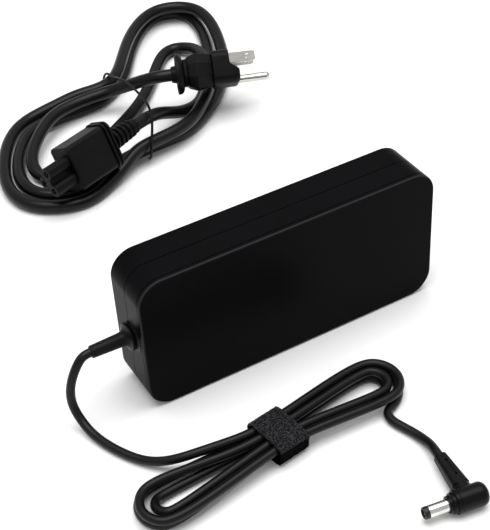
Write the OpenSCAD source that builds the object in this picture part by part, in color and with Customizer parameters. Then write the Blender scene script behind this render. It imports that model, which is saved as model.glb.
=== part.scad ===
// Laptop power adapter: a slim two-shell brick with its electronics, a fixed DC cord with an angled
// barrel plug and a hook-and-loop strap, and a separate mains lead with a three-pole connector.
// Origin: middle of the face that the brick stands on. +X runs to the mains inlet, +Z is up.

/* [Case] */
// Length of the case
case_l = 155; // [150:1:170]
// Thickness of the case
case_t = 28.5; // [27.5:0.5:32]
// Height of the case as it stands
case_h = 72; // [70:1:80]
// Radius of the four corners of the large faces
case_r = 12; // [9:0.5:14]
// Rounding along the edge of the large faces
edge_r = 1.1; // [0.6:0.1:1.8]
// Thickness of the shell walls
wall = 2.2; // [1.9:0.1:2.4]
// Height of the locating lip inside the parting line
lip_h = 1.6; // [1:0.1:2.5]
// Thickness of the locating lip
lip_t = 0.9; // [0.7:0.1:1.2]
// Width and depth of the styling groove round the front shell
groove = 0.4; // [0.3:0.1:0.6]
// Distance of the styling groove from the front face
groove_y = 2.4; // [2:0.1:3]

/* [Circuit board] */
// Thickness of the circuit board
board_t = 1.6; // [1.2:0.1:2]
// Gap between the board edge and the shell wall
board_gap = 2.3; // [1.5:0.1:3]
// Height of the posts that carry the board
post_h = 3.2; // [2.8:0.1:3.6]
// Diameter of the posts that carry the board
post_d = 4; // [3:0.5:5]
// Thickness of the heat spreader plate
spreader_t = 0.6; // [0.4:0.1:1]
// Thickness of the insulating sheet behind the board
sheet_t = 0.3; // [0.2:0.05:0.5]
// Height of the heatsinks above the board
sink_h = 15.5; // [13:0.5:16]
// Thickness of the heatsink plates
sink_t = 2.5; // [2:0.1:3]

/* [Mains inlet] */
// Distance between the line and neutral pins
pole_pitch = 10; // [9.6:0.1:10.4]
// Distance of the earth pin from the line through the other two
earth_offset = 5.4; // [5:0.1:6]
// Diameter of each tube of the connector nose
tube_d = 7.2; // [6.8:0.1:7.4]
// Length of the connector nose
tube_l = 15; // [13:0.5:16]
// Clearance between the connector nose and the inlet
nose_clear = 0.4; // [0.2:0.05:0.6]
// Diameter of the inlet pins
pole_d = 2.4; // [2.2:0.1:2.6]
// Wall of the inlet housing round its recess
inlet_wall = 2; // [1.6:0.1:2.2]

/* [DC cord] */
// Diameter of the DC cord
dc_d = 4.2; // [3.8:0.1:4.4]
// Diameter of the strain relief boot
boot_d = 5.8; // [5.4:0.1:6.2]
// Length of the strain relief boot outside the case
boot_l = 19.5; // [19.5:0.5:19.5]
// Width of the oval grommet in the end wall
grommet_w = 12; // [11:0.5:13]
// Height of the oval grommet in the end wall
grommet_h = 8.4; // [7.5:0.1:9]
// Height of the cord exit above the standing face
exit_z = 35.3; // [33:0.1:38]
// Width of the hook-and-loop strap
strap_w = 16; // [15:0.5:16.5]
// Thickness of the strap
strap_t = 1.3; // [1:0.1:1.4]

/* [DC plug] */
// Diameter of the plug body
plug_d = 10.5; // [10.5:0.1:10.5]
// Length of the plug body without its collar
plug_l = 15; // [14.5:0.5:16]
// Outer diameter of the barrel
barrel_d = 5.5; // [5:0.1:6]
// Length of the barrel outside the collar
barrel_l = 11; // [9:0.5:11]
// Wall of the barrel
barrel_wall = 0.4; // [0.3:0.05:0.5]
// Bore of the barrel's inner contact
bore_d = 2.5; // [2.1:0.1:2.6]
// Width of the plug boot at the cord
plug_boot_d1 = 5.3; // [5:0.1:5.8]
// Width of the plug boot at the body
plug_boot_d2 = 7.5; // [7:0.1:8]

/* [Mains lead] */
// Diameter of the mains cord
mains_d = 7.4; // [7:0.1:7.4]
// Width of the mains connector
conn_w = 25.5; // [23:0.5:25.5]
// Thickness of the mains connector
conn_t = 16.5; // [15.5:0.5:16.5]
// Length of the mains connector behind its nose
conn_l = 31; // [27:0.5:31]
// Diameter of the tie round the folded lead
tie_d = 1.5; // [1.2:0.1:1.6]

/* [Mains plug] */
// Width of the plug's front block
block_w = 24; // [22:0.5:24]
// Thickness of the plug's front block
block_t = 20; // [18:0.5:20]
// Distance between the flat blades
blade_pitch = 12.7; // [12.7:0.1:12.7]
// Length of the flat blades
blade_l = 15.5; // [15:0.5:17]
// Width of the flat blades
blade_w = 6.35; // [6.2:0.05:6.5]
// Thickness of the flat blades
blade_t = 1.5; // [1.4:0.1:1.6]
// Diameter of the earth pin
earth_d = 4.8; // [4.6:0.1:4.9]
// Length of the earth pin
earth_l = 18; // [17:0.5:19]
// Distance of the earth pin from the line through the blades
earth_drop = 11.9; // [11.9:0.1:11.9]

/* [Hidden] */
$fn = 48;

half_t = case_t / 2;
in_y = half_t - wall;               // inner face of each large wall, from the parting plane
in_x = case_l / 2 - wall;           // inner face of each end wall
fit = 0.15;                         // clearance between the case parts
board_y1 = in_y - post_h;           // back of the board
face_y = board_y1 - board_t;        // component side of the board
board_w = 2 * (in_x - board_gap);
board_h = case_h - 2 * wall - 2 * board_gap;
mid_z = case_h / 2;
eps = 0.01;

// ---- two-dimensional outlines -------------------------------------------------------------------
module rounded_rect(w, h, r) {
  square([w - 2 * r, h], center = true);
  square([w, h - 2 * r], center = true);
  for (x = [-1, 1], y = [-1, 1]) translate([x * (w / 2 - r), y * (h / 2 - r)]) circle(r);
}

// Half section of a slab whose far edge is rounded
module edge_profile(half, depth, f) {
  square([half, depth - f]);
  square([half - f, depth]);
  translate([half - f, depth - f]) circle(f);
}

// Puts a drawing in the XY plane upright, so that its Z runs to -Y and its Y to +Z
module upright() { rotate([90, 0, 0]) children(); }

// Stands a piece on the board, with its own Z pointing away from the board
module on_board(x, z) { translate([x, face_y, z]) upright() children(); }

// Components share out the board: their places follow its sides, and their sizes the tightest of its
// length, its height and the room in front of it
share_x = board_w / 146;
share_z = board_h / 63;
share = min(share_x, share_z, (face_y + in_y) / 19.3);
function place_x(x) = x * share_x;
function place_z(z) = mid_z + z * share_z;
module component(x, z) { on_board(place_x(x), place_z(z)) scale(share) children(); }

// ---- case -----------------------------------------------------------------------------------------
module slab(w, h, r, depth, f) {
  for (x = [-1, 1], y = [-1, 1]) translate([x * (w / 2 - r), y * (h / 2 - r), 0])
    rotate_extrude() edge_profile(r, depth, f);
  translate([-(w / 2 - r), 0, 0]) rotate([90, 0, 90]) linear_extrude(w - 2 * r) {
    edge_profile(h / 2, depth, f);
    mirror([1, 0, 0]) edge_profile(h / 2, depth, f);
  }
  translate([0, h / 2 - r, 0]) rotate([90, 0, 0]) linear_extrude(h - 2 * r) {
    edge_profile(w / 2, depth, f);
    mirror([1, 0, 0]) edge_profile(w / 2, depth, f);
  }
}

module shell_half() {
  difference() {
    slab(case_l, case_h, case_r, half_t, edge_r);
    translate([0, 0, -1]) linear_extrude(in_y + 1)
      rounded_rect(case_l - 2 * wall, case_h - 2 * wall, case_r - wall);
  }
}

// Openings in the end walls for the grommet and the inlet
module end_openings() {
  translate([-case_l / 2 - 1, 0, exit_z]) rotate([90, 0, 90])
    linear_extrude(wall + 2) rounded_rect(grommet_w, grommet_h, grommet_h / 2 - eps);
  translate([case_l / 2 - wall - 1, -inlet_y / 2, mid_z - inlet_z / 2]) cube([wall + 2, inlet_y, inlet_z]);
}

module front_shell() {
  color("#17171a") difference() {
    translate([0, 0, mid_z]) upright() difference() {
      shell_half();
      translate([0, 0, half_t - groove_y]) linear_extrude(groove) difference() {
        rounded_rect(case_l + 2, case_h + 2, case_r + 1);
        rounded_rect(case_l - 2 * groove, case_h - 2 * groove, case_r - groove);
      }
    }
    end_openings();
  }
}

post_x = board_w / 2 - 7;
post_z = board_h / 2 - 4;

module back_shell() {
  color("#17171a") difference() {
    union() {
      translate([0, 0, mid_z]) mirror([0, 1, 0]) upright() shell_half();
      // locating lip that stands past the parting plane inside the front shell
      translate([0, 3 + eps, mid_z]) upright() linear_extrude(lip_h + 3) difference() {
        rounded_rect(case_l - 2 * (wall + fit), case_h - 2 * (wall + fit), case_r - wall - fit);
        rounded_rect(case_l - 2 * (wall + fit + lip_t), case_h - 2 * (wall + fit + lip_t),
                     case_r - wall - fit - lip_t);
      }
      // ledge that joins the lip to the wall behind the parting plane
      translate([0, 3, mid_z]) upright() linear_extrude(3 - fit) difference() {
        rounded_rect(case_l - 2 * wall + 1, case_h - 2 * wall + 1, case_r - wall + 0.5);
        rounded_rect(case_l - 2 * (wall + fit + lip_t), case_h - 2 * (wall + fit + lip_t),
                     case_r - wall - fit - lip_t);
      }
      // posts that carry the board
      for (x = [-post_x, 0, post_x], z = [-post_z, post_z])
        translate([x, in_y + 0.5, mid_z + z]) upright() cylinder(d = post_d, h = post_h + 0.5);
    }
    end_openings();
    // room for the grommet's and the inlet's inner flanges past the lip
    translate([-case_l / 2 + wall, -lip_h - 1, exit_z - (grommet_h + 3) / 2])
      cube([4, lip_h + 5, grommet_h + 3]);
    translate([case_l / 2 - wall - 6, -lip_h - 1, mid_z - inlet_z / 2 - 2]) cube([6, lip_h + 5, inlet_z + 4]);
  }
}

// ---- mains inlet ----------------------------------------------------------------------------------
pole_y = earth_offset * 0.4;                   // line and neutral, from the middle of the nose
earth_y = pole_y - earth_offset;
inlet_y = earth_offset + tube_d + nose_clear * 2 + 2 * inlet_wall;
inlet_z = pole_pitch + tube_d + nose_clear * 2 + 2 * inlet_wall;
inlet_mid = (pole_y + earth_y) / 2;            // middle of the nose's outline
recess_l = tube_l + 0.5;
inlet_l = recess_l + 4;
poles = [[pole_y, -pole_pitch / 2], [pole_y, pole_pitch / 2], [earth_y, 0]];

// Outline of the connector nose, grown by a clearance; X is the thickness and Y the width
module nose_outline(grow) {
  hull() for (p = poles) translate([p.x - inlet_mid, p.y]) circle(d = tube_d + 2 * grow, $fn = 40);
}

module inlet_housing() {
  color("#101012") difference() {
    union() {
      translate([case_l / 2 - inlet_l, -inlet_y / 2, mid_z - inlet_z / 2]) cube([inlet_l, inlet_y, inlet_z]);
      translate([in_x - 2 - fit, -inlet_y / 2 - 1, mid_z - inlet_z / 2 - 1.5])
        cube([2, inlet_y + 2, inlet_z + 3]);
    }
    translate([case_l / 2 - recess_l, 0, mid_z]) rotate([90, 0, 90]) linear_extrude(recess_l + 1)
      nose_outline(nose_clear);
    for (p = poles) translate([case_l / 2 - inlet_l - 1, p.x - inlet_mid, mid_z + p.y]) rotate([0, 90, 0])
      cylinder(d = pole_d, h = inlet_l);
  }
}

module inlet_pins() {
  color("#c9c2b0") for (p = poles)
    translate([case_l / 2 - inlet_l - 3, p.x - inlet_mid, mid_z + p.y]) rotate([0, 90, 0]) {
      cylinder(d = pole_d, h = inlet_l - 1);
      translate([0, 0, inlet_l - 1]) cylinder(d1 = pole_d, d2 = pole_d - 1, h = 1);
    }
}

// ---- DC cord grommet and boot -----------------------------------------------------------------------
boot_end = -case_l / 2 - boot_l;

neck_out = 0.6;                    // the oval neck stands this far out of the wall
disc_d = 13.6;                     // thin disc in front of it
disc_t = 1.4;

module cord_grommet() {
  disc_x = -case_l / 2 - neck_out - disc_t;
  color("#141416") {
    translate([-case_l / 2 - neck_out, 0, exit_z]) rotate([90, 0, 90]) linear_extrude(wall + neck_out + fit)
      rounded_rect(grommet_w - 2 * fit, grommet_h - 2 * fit, grommet_h / 2 - fit - eps);
    translate([-in_x + fit, 0, exit_z]) rotate([90, 0, 90]) linear_extrude(2)
      rounded_rect(grommet_w + 0.6, grommet_h + 2, grommet_h / 2 + 0.5);
    translate([disc_x, 0, exit_z]) rotate([0, 90, 0]) cylinder(d = disc_d, h = disc_t);
    translate([boot_end, 0, exit_z]) rotate([0, 90, 0]) {
      cylinder(d1 = boot_d, d2 = boot_d + 0.8, h = disc_x - boot_end);
      translate([0, 0, disc_x - boot_end - 4]) cylinder(d1 = boot_d, d2 = boot_d + 2.6, h = 4);
    }
  }
}

// ---- circuit board and what lies round it -----------------------------------------------------------
module circuit_board() {
  color("#1f6b3a") difference() {
    translate([0, board_y1, mid_z]) upright() linear_extrude(board_t)
      rounded_rect(board_w, board_h, case_r - wall - board_gap);
    translate([case_l / 2 - inlet_l - 0.6, face_y - 1, mid_z - inlet_z / 2 - 2.5])
      cube([inlet_l, board_t + 2, inlet_z + 5]);
  }
}

module insulation_sheet() {
  color("#d8c46a") difference() {
    translate([0, in_y, mid_z]) upright() linear_extrude(sheet_t)
      rounded_rect(board_w, board_h, case_r - wall - board_gap);
    for (x = [-post_x, 0, post_x], z = [-post_z, post_z])
      translate([x, in_y + 1, mid_z + z]) upright() cylinder(d = post_d + 2 * fit, h = sheet_t + 2);
  }
}

module heat_spreader() {
  color("#b7bcc2") translate([-board_w / 2 + 3, -in_y, mid_z - board_h / 2 + 3])
    cube([board_w - 6, spreader_t, board_h - 6]);
}

sink_x1 = place_x(29);
sink_x2 = place_x(-38);
sink_len = board_h - 7;
sink_top = face_y - sink_h;

module thermal_pads() {
  color("#6f8fb5") for (x = [sink_x1, sink_x2])
    translate([x - sink_t / 2 - 0.8, -in_y + spreader_t, mid_z - sink_len / 2 + 4])
      cube([sink_t + 1.6, sink_top + in_y - spreader_t, sink_len - 8]);
}

module sink(x) {
  on_board(x, mid_z) difference() {
    translate([-sink_t / 2, -sink_len / 2, 0]) cube([sink_t, sink_len, sink_h]);
    for (i = [-2:2]) translate([-sink_t, i * sink_len / 6 - 1, sink_h - 5]) cube([2 * sink_t, 2, 2]);
  }
}

module primary_heatsink() { color("#c3c7cb") sink(sink_x1); }

module secondary_heatsink() { color("#c3c7cb") sink(sink_x2); }

// A flat power package that stands against a heatsink, with its three legs in the board
module power_package(w, t, h) {
  translate([0, -w / 2, 3]) cube([t, w, h]);
  for (i = [-1:1]) translate([t / 2 - 0.4, i * w / 4 - 0.4, 0]) cube([0.8, 0.8, 3.2]);
}

module bridge_rectifier() {
  color("#1c1c1e") on_board(sink_x1 + sink_t / 2, place_z(-18)) scale(share) power_package(20, 4, 11);
}

module primary_transistors() {
  color("#222225") for (z = [8, 20]) on_board(sink_x1 - sink_t / 2, place_z(z)) scale(share)
    mirror([1, 0, 0]) power_package(9, 4, 11);
}

module output_rectifiers() {
  color("#222225") for (z = [-6, 14]) on_board(sink_x2 - sink_t / 2, place_z(z)) scale(share)
    mirror([1, 0, 0]) power_package(10, 4.3, 11);
}

// A capacitor can that stands on the board
module can(d, h) {
  difference() {
    cylinder(d = d, h = h);
    translate([0, 0, 1.6]) rotate_extrude() translate([d / 2 + 0.2, 0]) circle(0.5, $fn = 24);
  }
}

module bulk_capacitor() {
  color("#1d2f55") {
    component(-9, -18) translate([0, 0, 8.2]) rotate([0, 90, 0]) can(16.4, 34);
    // moulded saddle that the can lies in
    component(8, -18) translate([-8, -3, 0]) cube([14, 6, 1.4]);
  }
}

core_w = 28;
core_h = 26;
core_t = 16.5;
window = 5;

module transformer_core() {
  color("#3a3836") component(-18, 10) difference() {
    translate([-core_w / 2, -core_h / 2, 0]) cube([core_w, core_h, core_t]);
    translate([0, 0, 3.5]) difference() {
      translate([-core_w / 2 + 3.5, -core_h, 0]) cube([core_w - 7, 2 * core_h, core_t - 7]);
      translate([0, 0, -1]) cylinder(d = 9, h = core_t);
    }
  }
}

module transformer_winding() {
  color("#d9a441") component(-18, 10) translate([0, 0, 3.5 + fit]) difference() {
    cylinder(d = core_w - 7 - 2 * fit, h = core_t - 7 - 2 * fit);
    translate([0, 0, -1]) cylinder(d = 9 + 2 * fit, h = core_t);
  }
}

module pfc_inductor_core() {
  color("#3a3836") component(13, 16) {
    translate([-9, -11, 0]) cube([18, 22, 3]);
    translate([-9, -11, 13]) cube([18, 22, 3]);
    cylinder(d = 8, h = 16);
    for (y = [-11, 8.5]) translate([-9, y, 0]) cube([18, 2.5, 16]);
  }
}

module pfc_inductor_winding() {
  color("#a5571f") component(13, 16) translate([0, 0, 3 + fit]) difference() {
    cylinder(d = 17 - 2 * fit, h = 10 - 2 * fit);
    translate([0, 0, -1]) cylinder(d = 8 + 2 * fit, h = 12);
  }
}

// A ring core that lies on the board
module ring_core(r_out, r_in, h) {
  difference() {
    cylinder(r = r_out, h = h);
    translate([0, 0, -1]) cylinder(r = r_in, h = h + 2);
  }
}

// Two half windings over a ring core, each a block of turns
module ring_winding(r_out, r_in, h, lift, sweep) {
  for (a = [0, 180]) rotate([0, 0, a - sweep / 2]) difference() {
    translate([0, 0, -lift]) rotate_extrude(angle = sweep)
      translate([r_in - 1.4, 0]) square([r_out - r_in + 2.8, h + 2 * lift]);
    rotate([0, 0, -5]) rotate_extrude(angle = sweep + 10)
      translate([r_in - fit, -fit]) square([r_out - r_in + 2 * fit, h + 2 * fit]);
  }
}

module line_choke_core() { color("#4a4f45") component(42, 21) translate([0, 0, 1.5]) ring_core(7.4, 4.4, 9); }

module line_choke_windings() {
  color("#b5672a") component(42, 21) translate([0, 0, 1.5]) ring_winding(7.4, 4.4, 9, 1.5, 130);
}

module output_inductor_core() {
  color("#c7b23a") component(-56, 20) translate([0, 0, 1.5]) ring_core(7, 4.2, 8);
}

module output_inductor_winding() {
  color("#b5672a") component(-56, 20) translate([0, 0, 1.5]) ring_winding(7, 4.2, 8, 1.5, 150);
}

module filter_capacitor() {
  color("#c8a92e") component(45.5, -1) translate([-5.5, -10, 0]) cube([11, 20, 14]);
}

module safety_capacitors() {
  color("#2f6fb3") for (x = [39, 46, 53]) component(x, -22) {
    translate([-1.7, 0, 6.5]) rotate([0, 90, 0]) cylinder(d = 8, h = 3.4);
    for (y = [-2.5, 2.5]) translate([0, y, 0]) cylinder(d = 0.8, h = 5, $fn = 16);
  }
}

module fuse() {
  color("#b9bec4") component(54, 24) translate([0, 0, 3.2]) rotate([0, 90, 0]) {
    cylinder(d = 5.2, h = 5);
    translate([0, 0, 4]) cylinder(d = 4.8, h = 10);
    translate([0, 0, 13]) cylinder(d = 5.2, h = 5);
    for (z = [2.5, 15.5]) translate([0, 0, z]) rotate([0, 90, 0]) cylinder(d = 1, h = 3.2, $fn = 16);
  }
}

module thermistor() {
  color("#3d5c34") component(63, -24) {
    translate([0, 0, 7]) rotate([90, 0, 0]) translate([0, 0, -2]) cylinder(d = 9, h = 4);
    for (x = [-2.5, 2.5]) translate([x, 0, 0]) cylinder(d = 0.8, h = 5, $fn = 16);
  }
}

module output_capacitors() {
  color("#2a2a30") for (x = [-64, -52], z = [-23, -11.5]) component(x, z) can(9, 16);
}

module chip(w, h, t, legs) {
  translate([-w / 2, -h / 2, 0.4]) cube([w, h, t]);
  for (s = [-1, 1], i = [0:legs - 1])
    translate([s * (w / 2 + 0.4) - 0.5, (i - (legs - 1) / 2) * 1.27 - 0.2, 0]) cube([1, 0.4, t / 2 + 0.4]);
}

module optocoupler() { color("#1c1c1e") component(-20, -11) chip(6.5, 4.6, 3.4, 3); }

module control_chip() { color("#1c1c1e") component(14, -3) chip(4, 5, 1.5, 4); }

// Wires from the inlet pins to the board
module inlet_leads() {
  lead_x = case_l / 2 - inlet_l - 2.2;
  color("#8a5a2a") for (p = poles) translate([lead_x, face_y, mid_z + p.y]) upright() difference() {
    cylinder(d = 1.4, h = face_y - (p.x - inlet_mid) - pole_d / 2);
    translate([0, 0, face_y - (p.x - inlet_mid)]) rotate([0, 90, 0])
      cylinder(d = pole_d, h = 4, center = true);
  }
}

// Wires from the grommet to the board
module output_leads() {
  start = -in_x + fit + 2;
  color("#c0392b") for (s = [-1, 1]) translate([0, 0, exit_z + s * 2]) {
    translate([start, 0, 0]) rotate([0, 90, 0]) cylinder(d = 1.8, h = 8);
    translate([start + 8, 0, 0]) sphere(d = 1.8);
    translate([start + 8, 0, 0]) rotate([-90, 0, 0]) cylinder(d = 1.8, h = face_y);
  }
}

// ---- swept cords ----------------------------------------------------------------------------------
function unit(v) = v / norm(v);

// Smooth curve drawn by a list of guide points; it starts and ends on the first and last of them
function guided(p) = concat([2 * p[0] - p[1]], p, [2 * p[len(p) - 1] - p[len(p) - 2]]);
function curve_at(q, u) =
  let (i = min(floor(u), len(q) - 4), t = u - i)
  ((1 - t) ^ 3 * q[i] + (3 * t ^ 3 - 6 * t * t + 4) * q[i + 1]
   + (-3 * t ^ 3 + 3 * t * t + 3 * t + 1) * q[i + 2] + t ^ 3 * q[i + 3]) / 6;
function route(p, rings) =
  let (q = guided(p), m = len(p) - 1) [for (k = [0:rings]) curve_at(q, m * k / rings)];

// Direction of the route at each of its rings
function headings(c) =
  let (n = len(c) - 1)
  [for (i = [0:n]) unit(i == 0 ? c[1] - c[0] : i == n ? c[n] - c[n - 1] : c[i + 1] - c[i - 1])];

// Corner points of a tube whose ring corners are counted round from the side; none lies below floor_z
function tube_points(c, dirs, d, sides, up, floor_z) =
  [for (i = [0:len(c) - 1])
     let (s = unit(cross(dirs[i], up)), w = cross(s, dirs[i]))
     for (j = [0:sides - 1])
       let (a = 360 * j / sides, p = c[i] + d / 2 * (cos(a) * s + sin(a) * w))
       [p.x, p.y, max(p.z, floor_z)]];

module tube(c, first, last, d, sides, up = [0, 0, 1], floor_z = -1000) {
  n = len(c) - 1;
  mid = headings(c);
  dirs = [for (i = [0:n]) i == 0 ? unit(first) : i == n ? unit(last) : mid[i]];
  side_faces = [for (i = [0:n - 1], j = [0:sides - 1])
                  let (a = i * sides + j, b = i * sides + (j + 1) % sides)
                  each [[a, a + sides, b], [b, a + sides, b + sides]]];
  caps = [for (j = [1:sides - 2]) each [[0, j, j + 1], [n * sides, n * sides + j + 1, n * sides + j]]];
  polyhedron(tube_points(c, dirs, d, sides, up, floor_z), concat(side_faces, caps));
}

// Least free distance between two stretches of a route that lie more than skip apart along it
function lengths(c) =
  [for (i = 0, s = 0; i < len(c); s = s + (i + 1 < len(c) ? norm(c[i + 1] - c[i]) : 0), i = i + 1) s];
function least_gap(c, d, skip) =
  let (s = lengths(c))
  min([for (i = [0:len(c) - 1], j = [i + 1:len(c) - 1]) if (s[j] - s[i] > skip) norm(c[i] - c[j])]) - d;

// ---- DC cord ----------------------------------------------------------------------------------------
z_low = dc_d / 2;                  // lower layer of the folded cord
z_high = z_low + 4.8;              // upper layer
strap_lift = 1.5;                  // the strap holds the cords this far up
strap_at = [-40.5, -62.7];          // middle of the strap
run_half = 10;                     // half length of the straight stretch in the strap
run_y = [-64.2, -61.2];            // middle of the bundle at the left and right end of that stretch
spread = [7.1, 2.37];              // distance of the outer and inner strands from that middle
high_shift = -1.2;                 // the upper layer lies this far nearer to the front
tip = [[-110, -103.5], [24.3, 18.6]];      // left and right ends of the loops, outer and inner
loop_y = [[-67.5, -69.6], [-58.2, -59.6]]; // middle of those ends, lower and upper layer
loop_half = [[11.3, 6.5], [12.5, 7.6]];    // half widths of those ends, outer and inner
half_turn = [90, 45, 0, -45, -90];

// End of a loop: side 0 left or 1 right, kind 0 outer or 1 inner, level 0 low or 1 high
function loop_end(side, kind, level, angles, z0, z1) =
  let (s = 2 * side - 1, w = loop_half[side][kind], r = w * 1.108, n = len(angles) - 1)
  [for (i = [0:n]) [tip[side][kind] - s * w + s * r * cos(angles[i]),
                    loop_y[side][level] + r * sin(angles[i]),
                    z0 + (z1 - z0) * i / n]];
// Stretch through the strap: row 1 back or -1 front, heading 1 right or -1 left
function strap_run(row, kind, level, heading) =
  let (o = row * spread[kind] + high_shift * level, z = (level == 1 ? z_high : z_low) + strap_lift)
  [[strap_at.x - heading * run_half, run_y[heading == 1 ? 0 : 1] + o, z],
   [strap_at.x + heading * run_half, run_y[heading == 1 ? 1 : 0] + o, z]];
function reversed(v) = [for (i = [len(v) - 1:-1:0]) v[i]];

hank_start = [-65, -56.4, z_high + 1.6];
hank_end = [10.6, -86.4, z_low];
dc_hank = concat(
  [hank_start], strap_run(1, 0, 1, 1),
  loop_end(1, 0, 1, half_turn, z_high, z_high), strap_run(-1, 0, 1, -1),
  loop_end(0, 0, 1, reversed(half_turn), z_high, z_high), [[-66, -62.6, z_high + 0.9]],
  strap_run(1, 1, 1, 1),
  loop_end(1, 1, 1, half_turn, z_high, z_high), strap_run(-1, 1, 1, -1),
  loop_end(0, 1, 1, reversed(half_turn), z_high, z_low), strap_run(1, 1, 0, 1),
  loop_end(1, 1, 0, half_turn, z_low, z_low), strap_run(-1, 1, 0, -1),
  loop_end(0, 0, 0, reversed(half_turn), z_low, z_low), strap_run(1, 0, 0, 1),
  loop_end(1, 0, 0, [90, 45, 0], z_low, z_low),
  [[21.8, -67.4, z_low], [16, -72.3, z_low], [9.8, -73.6, z_low], [7.8, -79.2, z_low], hank_end]);
dc_tail = [[boot_end, 0, exit_z], [boot_end - 4.1, -0.1, exit_z], [-104.7, -0.6, 31.6], [-108.2, -1, 25.4],
           [-110.2, -1.3, 18.5], [-110.5, -2.4, 11.5], [-109.4, -6.2, 6], [-107.9, -13.7, 2.4],
           [-104.9, -23.7, 2.1], [-100.7, -33, 2.1], [-94.9, -42.2, 2.2], [-87.4, -50.2, 5.4],
           [-77, -54.8, 8.6], hank_start];
plug_in = [11.4, -110.8, plug_d / 2];        // where the cord enters the plug boot
plug_turn = -98.6;                         // heading of the plug boot
plug_axis = -8.9;                          // heading of the round body and the barrel
plug_dir = [cos(plug_turn), sin(plug_turn), 0];
dc_lead = [hank_end, [12.9, -93.6, 2.2], [13.5, -100.6, 3.4], plug_in - 4.5 * plug_dir, plug_in];

dc_hank_route = route(dc_hank, 88);
echo(dc_hank_gap = least_gap(dc_hank_route, dc_d, 20), dc_hank_length = lengths(dc_hank_route)[88]);

module dc_cord_tail() {
  color("#161618") tube(route(dc_tail, 13), [-1, 0, 0], dc_hank[1] - dc_hank[0], dc_d, 8, [1, 1, 0]);
}

module dc_cord_hank() {
  color("#161618") tube(dc_hank_route, dc_hank[1] - dc_hank[0], [2.1, -6.5, 0], dc_d, 6);
}

module dc_cord_lead() {
  color("#161618") tube(route(dc_lead, 8), [2.1, -6.5, 0], plug_dir, dc_d, 8);
}

// ---- strap round the folded cord --------------------------------------------------------------------
strap_turn = atan2(run_y[1] - run_y[0], 2 * run_half);
strap_half = spread[0] + 1.1;      // outermost strands where they leave the strap
strap_room = 0.25;

module strap_outline(grow) {
  hull() for (s = [-1, 1]) {
    translate([s * strap_half, z_low + strap_lift]) circle(d = dc_d + 2 * grow, $fn = 32);
    translate([s * strap_half + high_shift, z_high + strap_lift]) circle(d = dc_d + 2 * grow, $fn = 32);
  }
}

module cord_strap() {
  color("#202023") translate([strap_at.x, strap_at.y, 0]) rotate([0, 0, strap_turn])
    rotate([90, 0, 90]) translate([0, 0, -strap_w / 2]) linear_extrude(strap_w) difference() {
      intersection() {
        strap_outline(strap_room + strap_t);
        translate([-50, 0]) square([100, 50]);
      }
      strap_outline(strap_room);
    }
}

// ---- DC plug ----------------------------------------------------------------------------------------
plug_boot_l = 18.2;
stub_l = 1.2;                      // neck between the boot and the round body
dome_x = 8.4;                      // the domed end lies this far past the neck's axis
plug_mid = plug_in + (plug_boot_l + stub_l + plug_d / 2) * plug_dir;   // on the plug's axis
collar_x = dome_x - plug_l;        // face that the collar stands on
collar_l = 3.2;

module along_boot() { translate(plug_in) rotate([0, 0, plug_turn]) rotate([0, 90, 0]) children(); }

module dc_plug_boot() {
  color("#141416") along_boot() {
    cylinder(d = plug_boot_d1 + 0.5, h = 1.6);
    cylinder(d1 = plug_boot_d1, d2 = plug_boot_d2, h = plug_boot_l);
  }
}

end_r = 3.2;                       // rounding of the closed end

// Half outline of a turned body with a rounded far edge
module rounded_end(r, l, f) {
  hull() {
    square([r - f, l]);
    square([r, l - f]);
    translate([r - f, l - f]) circle(r = f);
  }
}

module along_plug(x) {
  translate(plug_mid) rotate([0, 0, plug_axis]) translate([x, 0, 0]) rotate([0, 90, 0]) children();
}

module dc_plug_body() {
  color("#161618") {
    along_plug(collar_x) rotate_extrude() intersection() {
      translate([-end_r, 0]) rounded_end(plug_d / 2 + end_r, plug_l, end_r);
      square([plug_d, plug_l]);
    }
    along_plug(collar_x - collar_l / 2) cylinder(d = plug_d - 1.6, h = collar_l);
    along_plug(collar_x - collar_l) cylinder(d = plug_d - 3, h = collar_l);
    along_boot() translate([0, 0, plug_boot_l]) cylinder(d = plug_boot_d2 + 0.6, h = stub_l + plug_d / 2);
  }
}

barrel_x = collar_x - collar_l - barrel_l;   // open end of the barrel
barrel_in = barrel_d - 2 * barrel_wall;
contact_wall = 0.35;

module dc_plug_barrel() {
  color("#cfd2d6") along_plug(barrel_x) difference() {
    cylinder(d = barrel_d, h = barrel_l);
    translate([0, 0, -1]) cylinder(d = barrel_in, h = barrel_l + 2);
  }
}

module dc_plug_insulator() {
  color("#0f0f10") along_plug(barrel_x + 0.4) difference() {
    cylinder(d = barrel_in, h = barrel_l - 0.4);
    translate([0, 0, -1]) cylinder(d = bore_d + 2 * contact_wall, h = barrel_l + 2);
  }
}

module dc_plug_contact() {
  color("#d8c17a") along_plug(barrel_x + 0.8) difference() {
    cylinder(d = bore_d + 2 * contact_wall, h = barrel_l - 0.8);
    translate([0, 0, -1]) cylinder(d = bore_d, h = barrel_l + 2);
  }
}

// ---- mains connector ----------------------------------------------------------------------------------
// It lies tilted on the folded cord; its own X runs from the nose back to the cord, Y across, Z through
conn_at = [-28.2, 155.4, 23];      // middle of the connector body
conn_turn = 20;
conn_tilt = 65;
conn_dir = [cos(conn_turn), sin(conn_turn), 0];
relief_l = 22;
relief_d1 = 12.6;                  // first and last rib of the relief
relief_d2 = 10;
relief_core = 8.6;
contact_d = 3.2;                   // holes that hold the contacts

module at_connector() { translate(conn_at) rotate([0, 0, conn_turn]) rotate([conn_tilt, 0, 0]) children(); }

// Puts a drawing across the connector: drawn X is its thickness, drawn Y its width
module across(x) { translate([x, 0, 0]) rotate([90, 0, 90]) rotate([0, 0, 90]) children(); }

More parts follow.
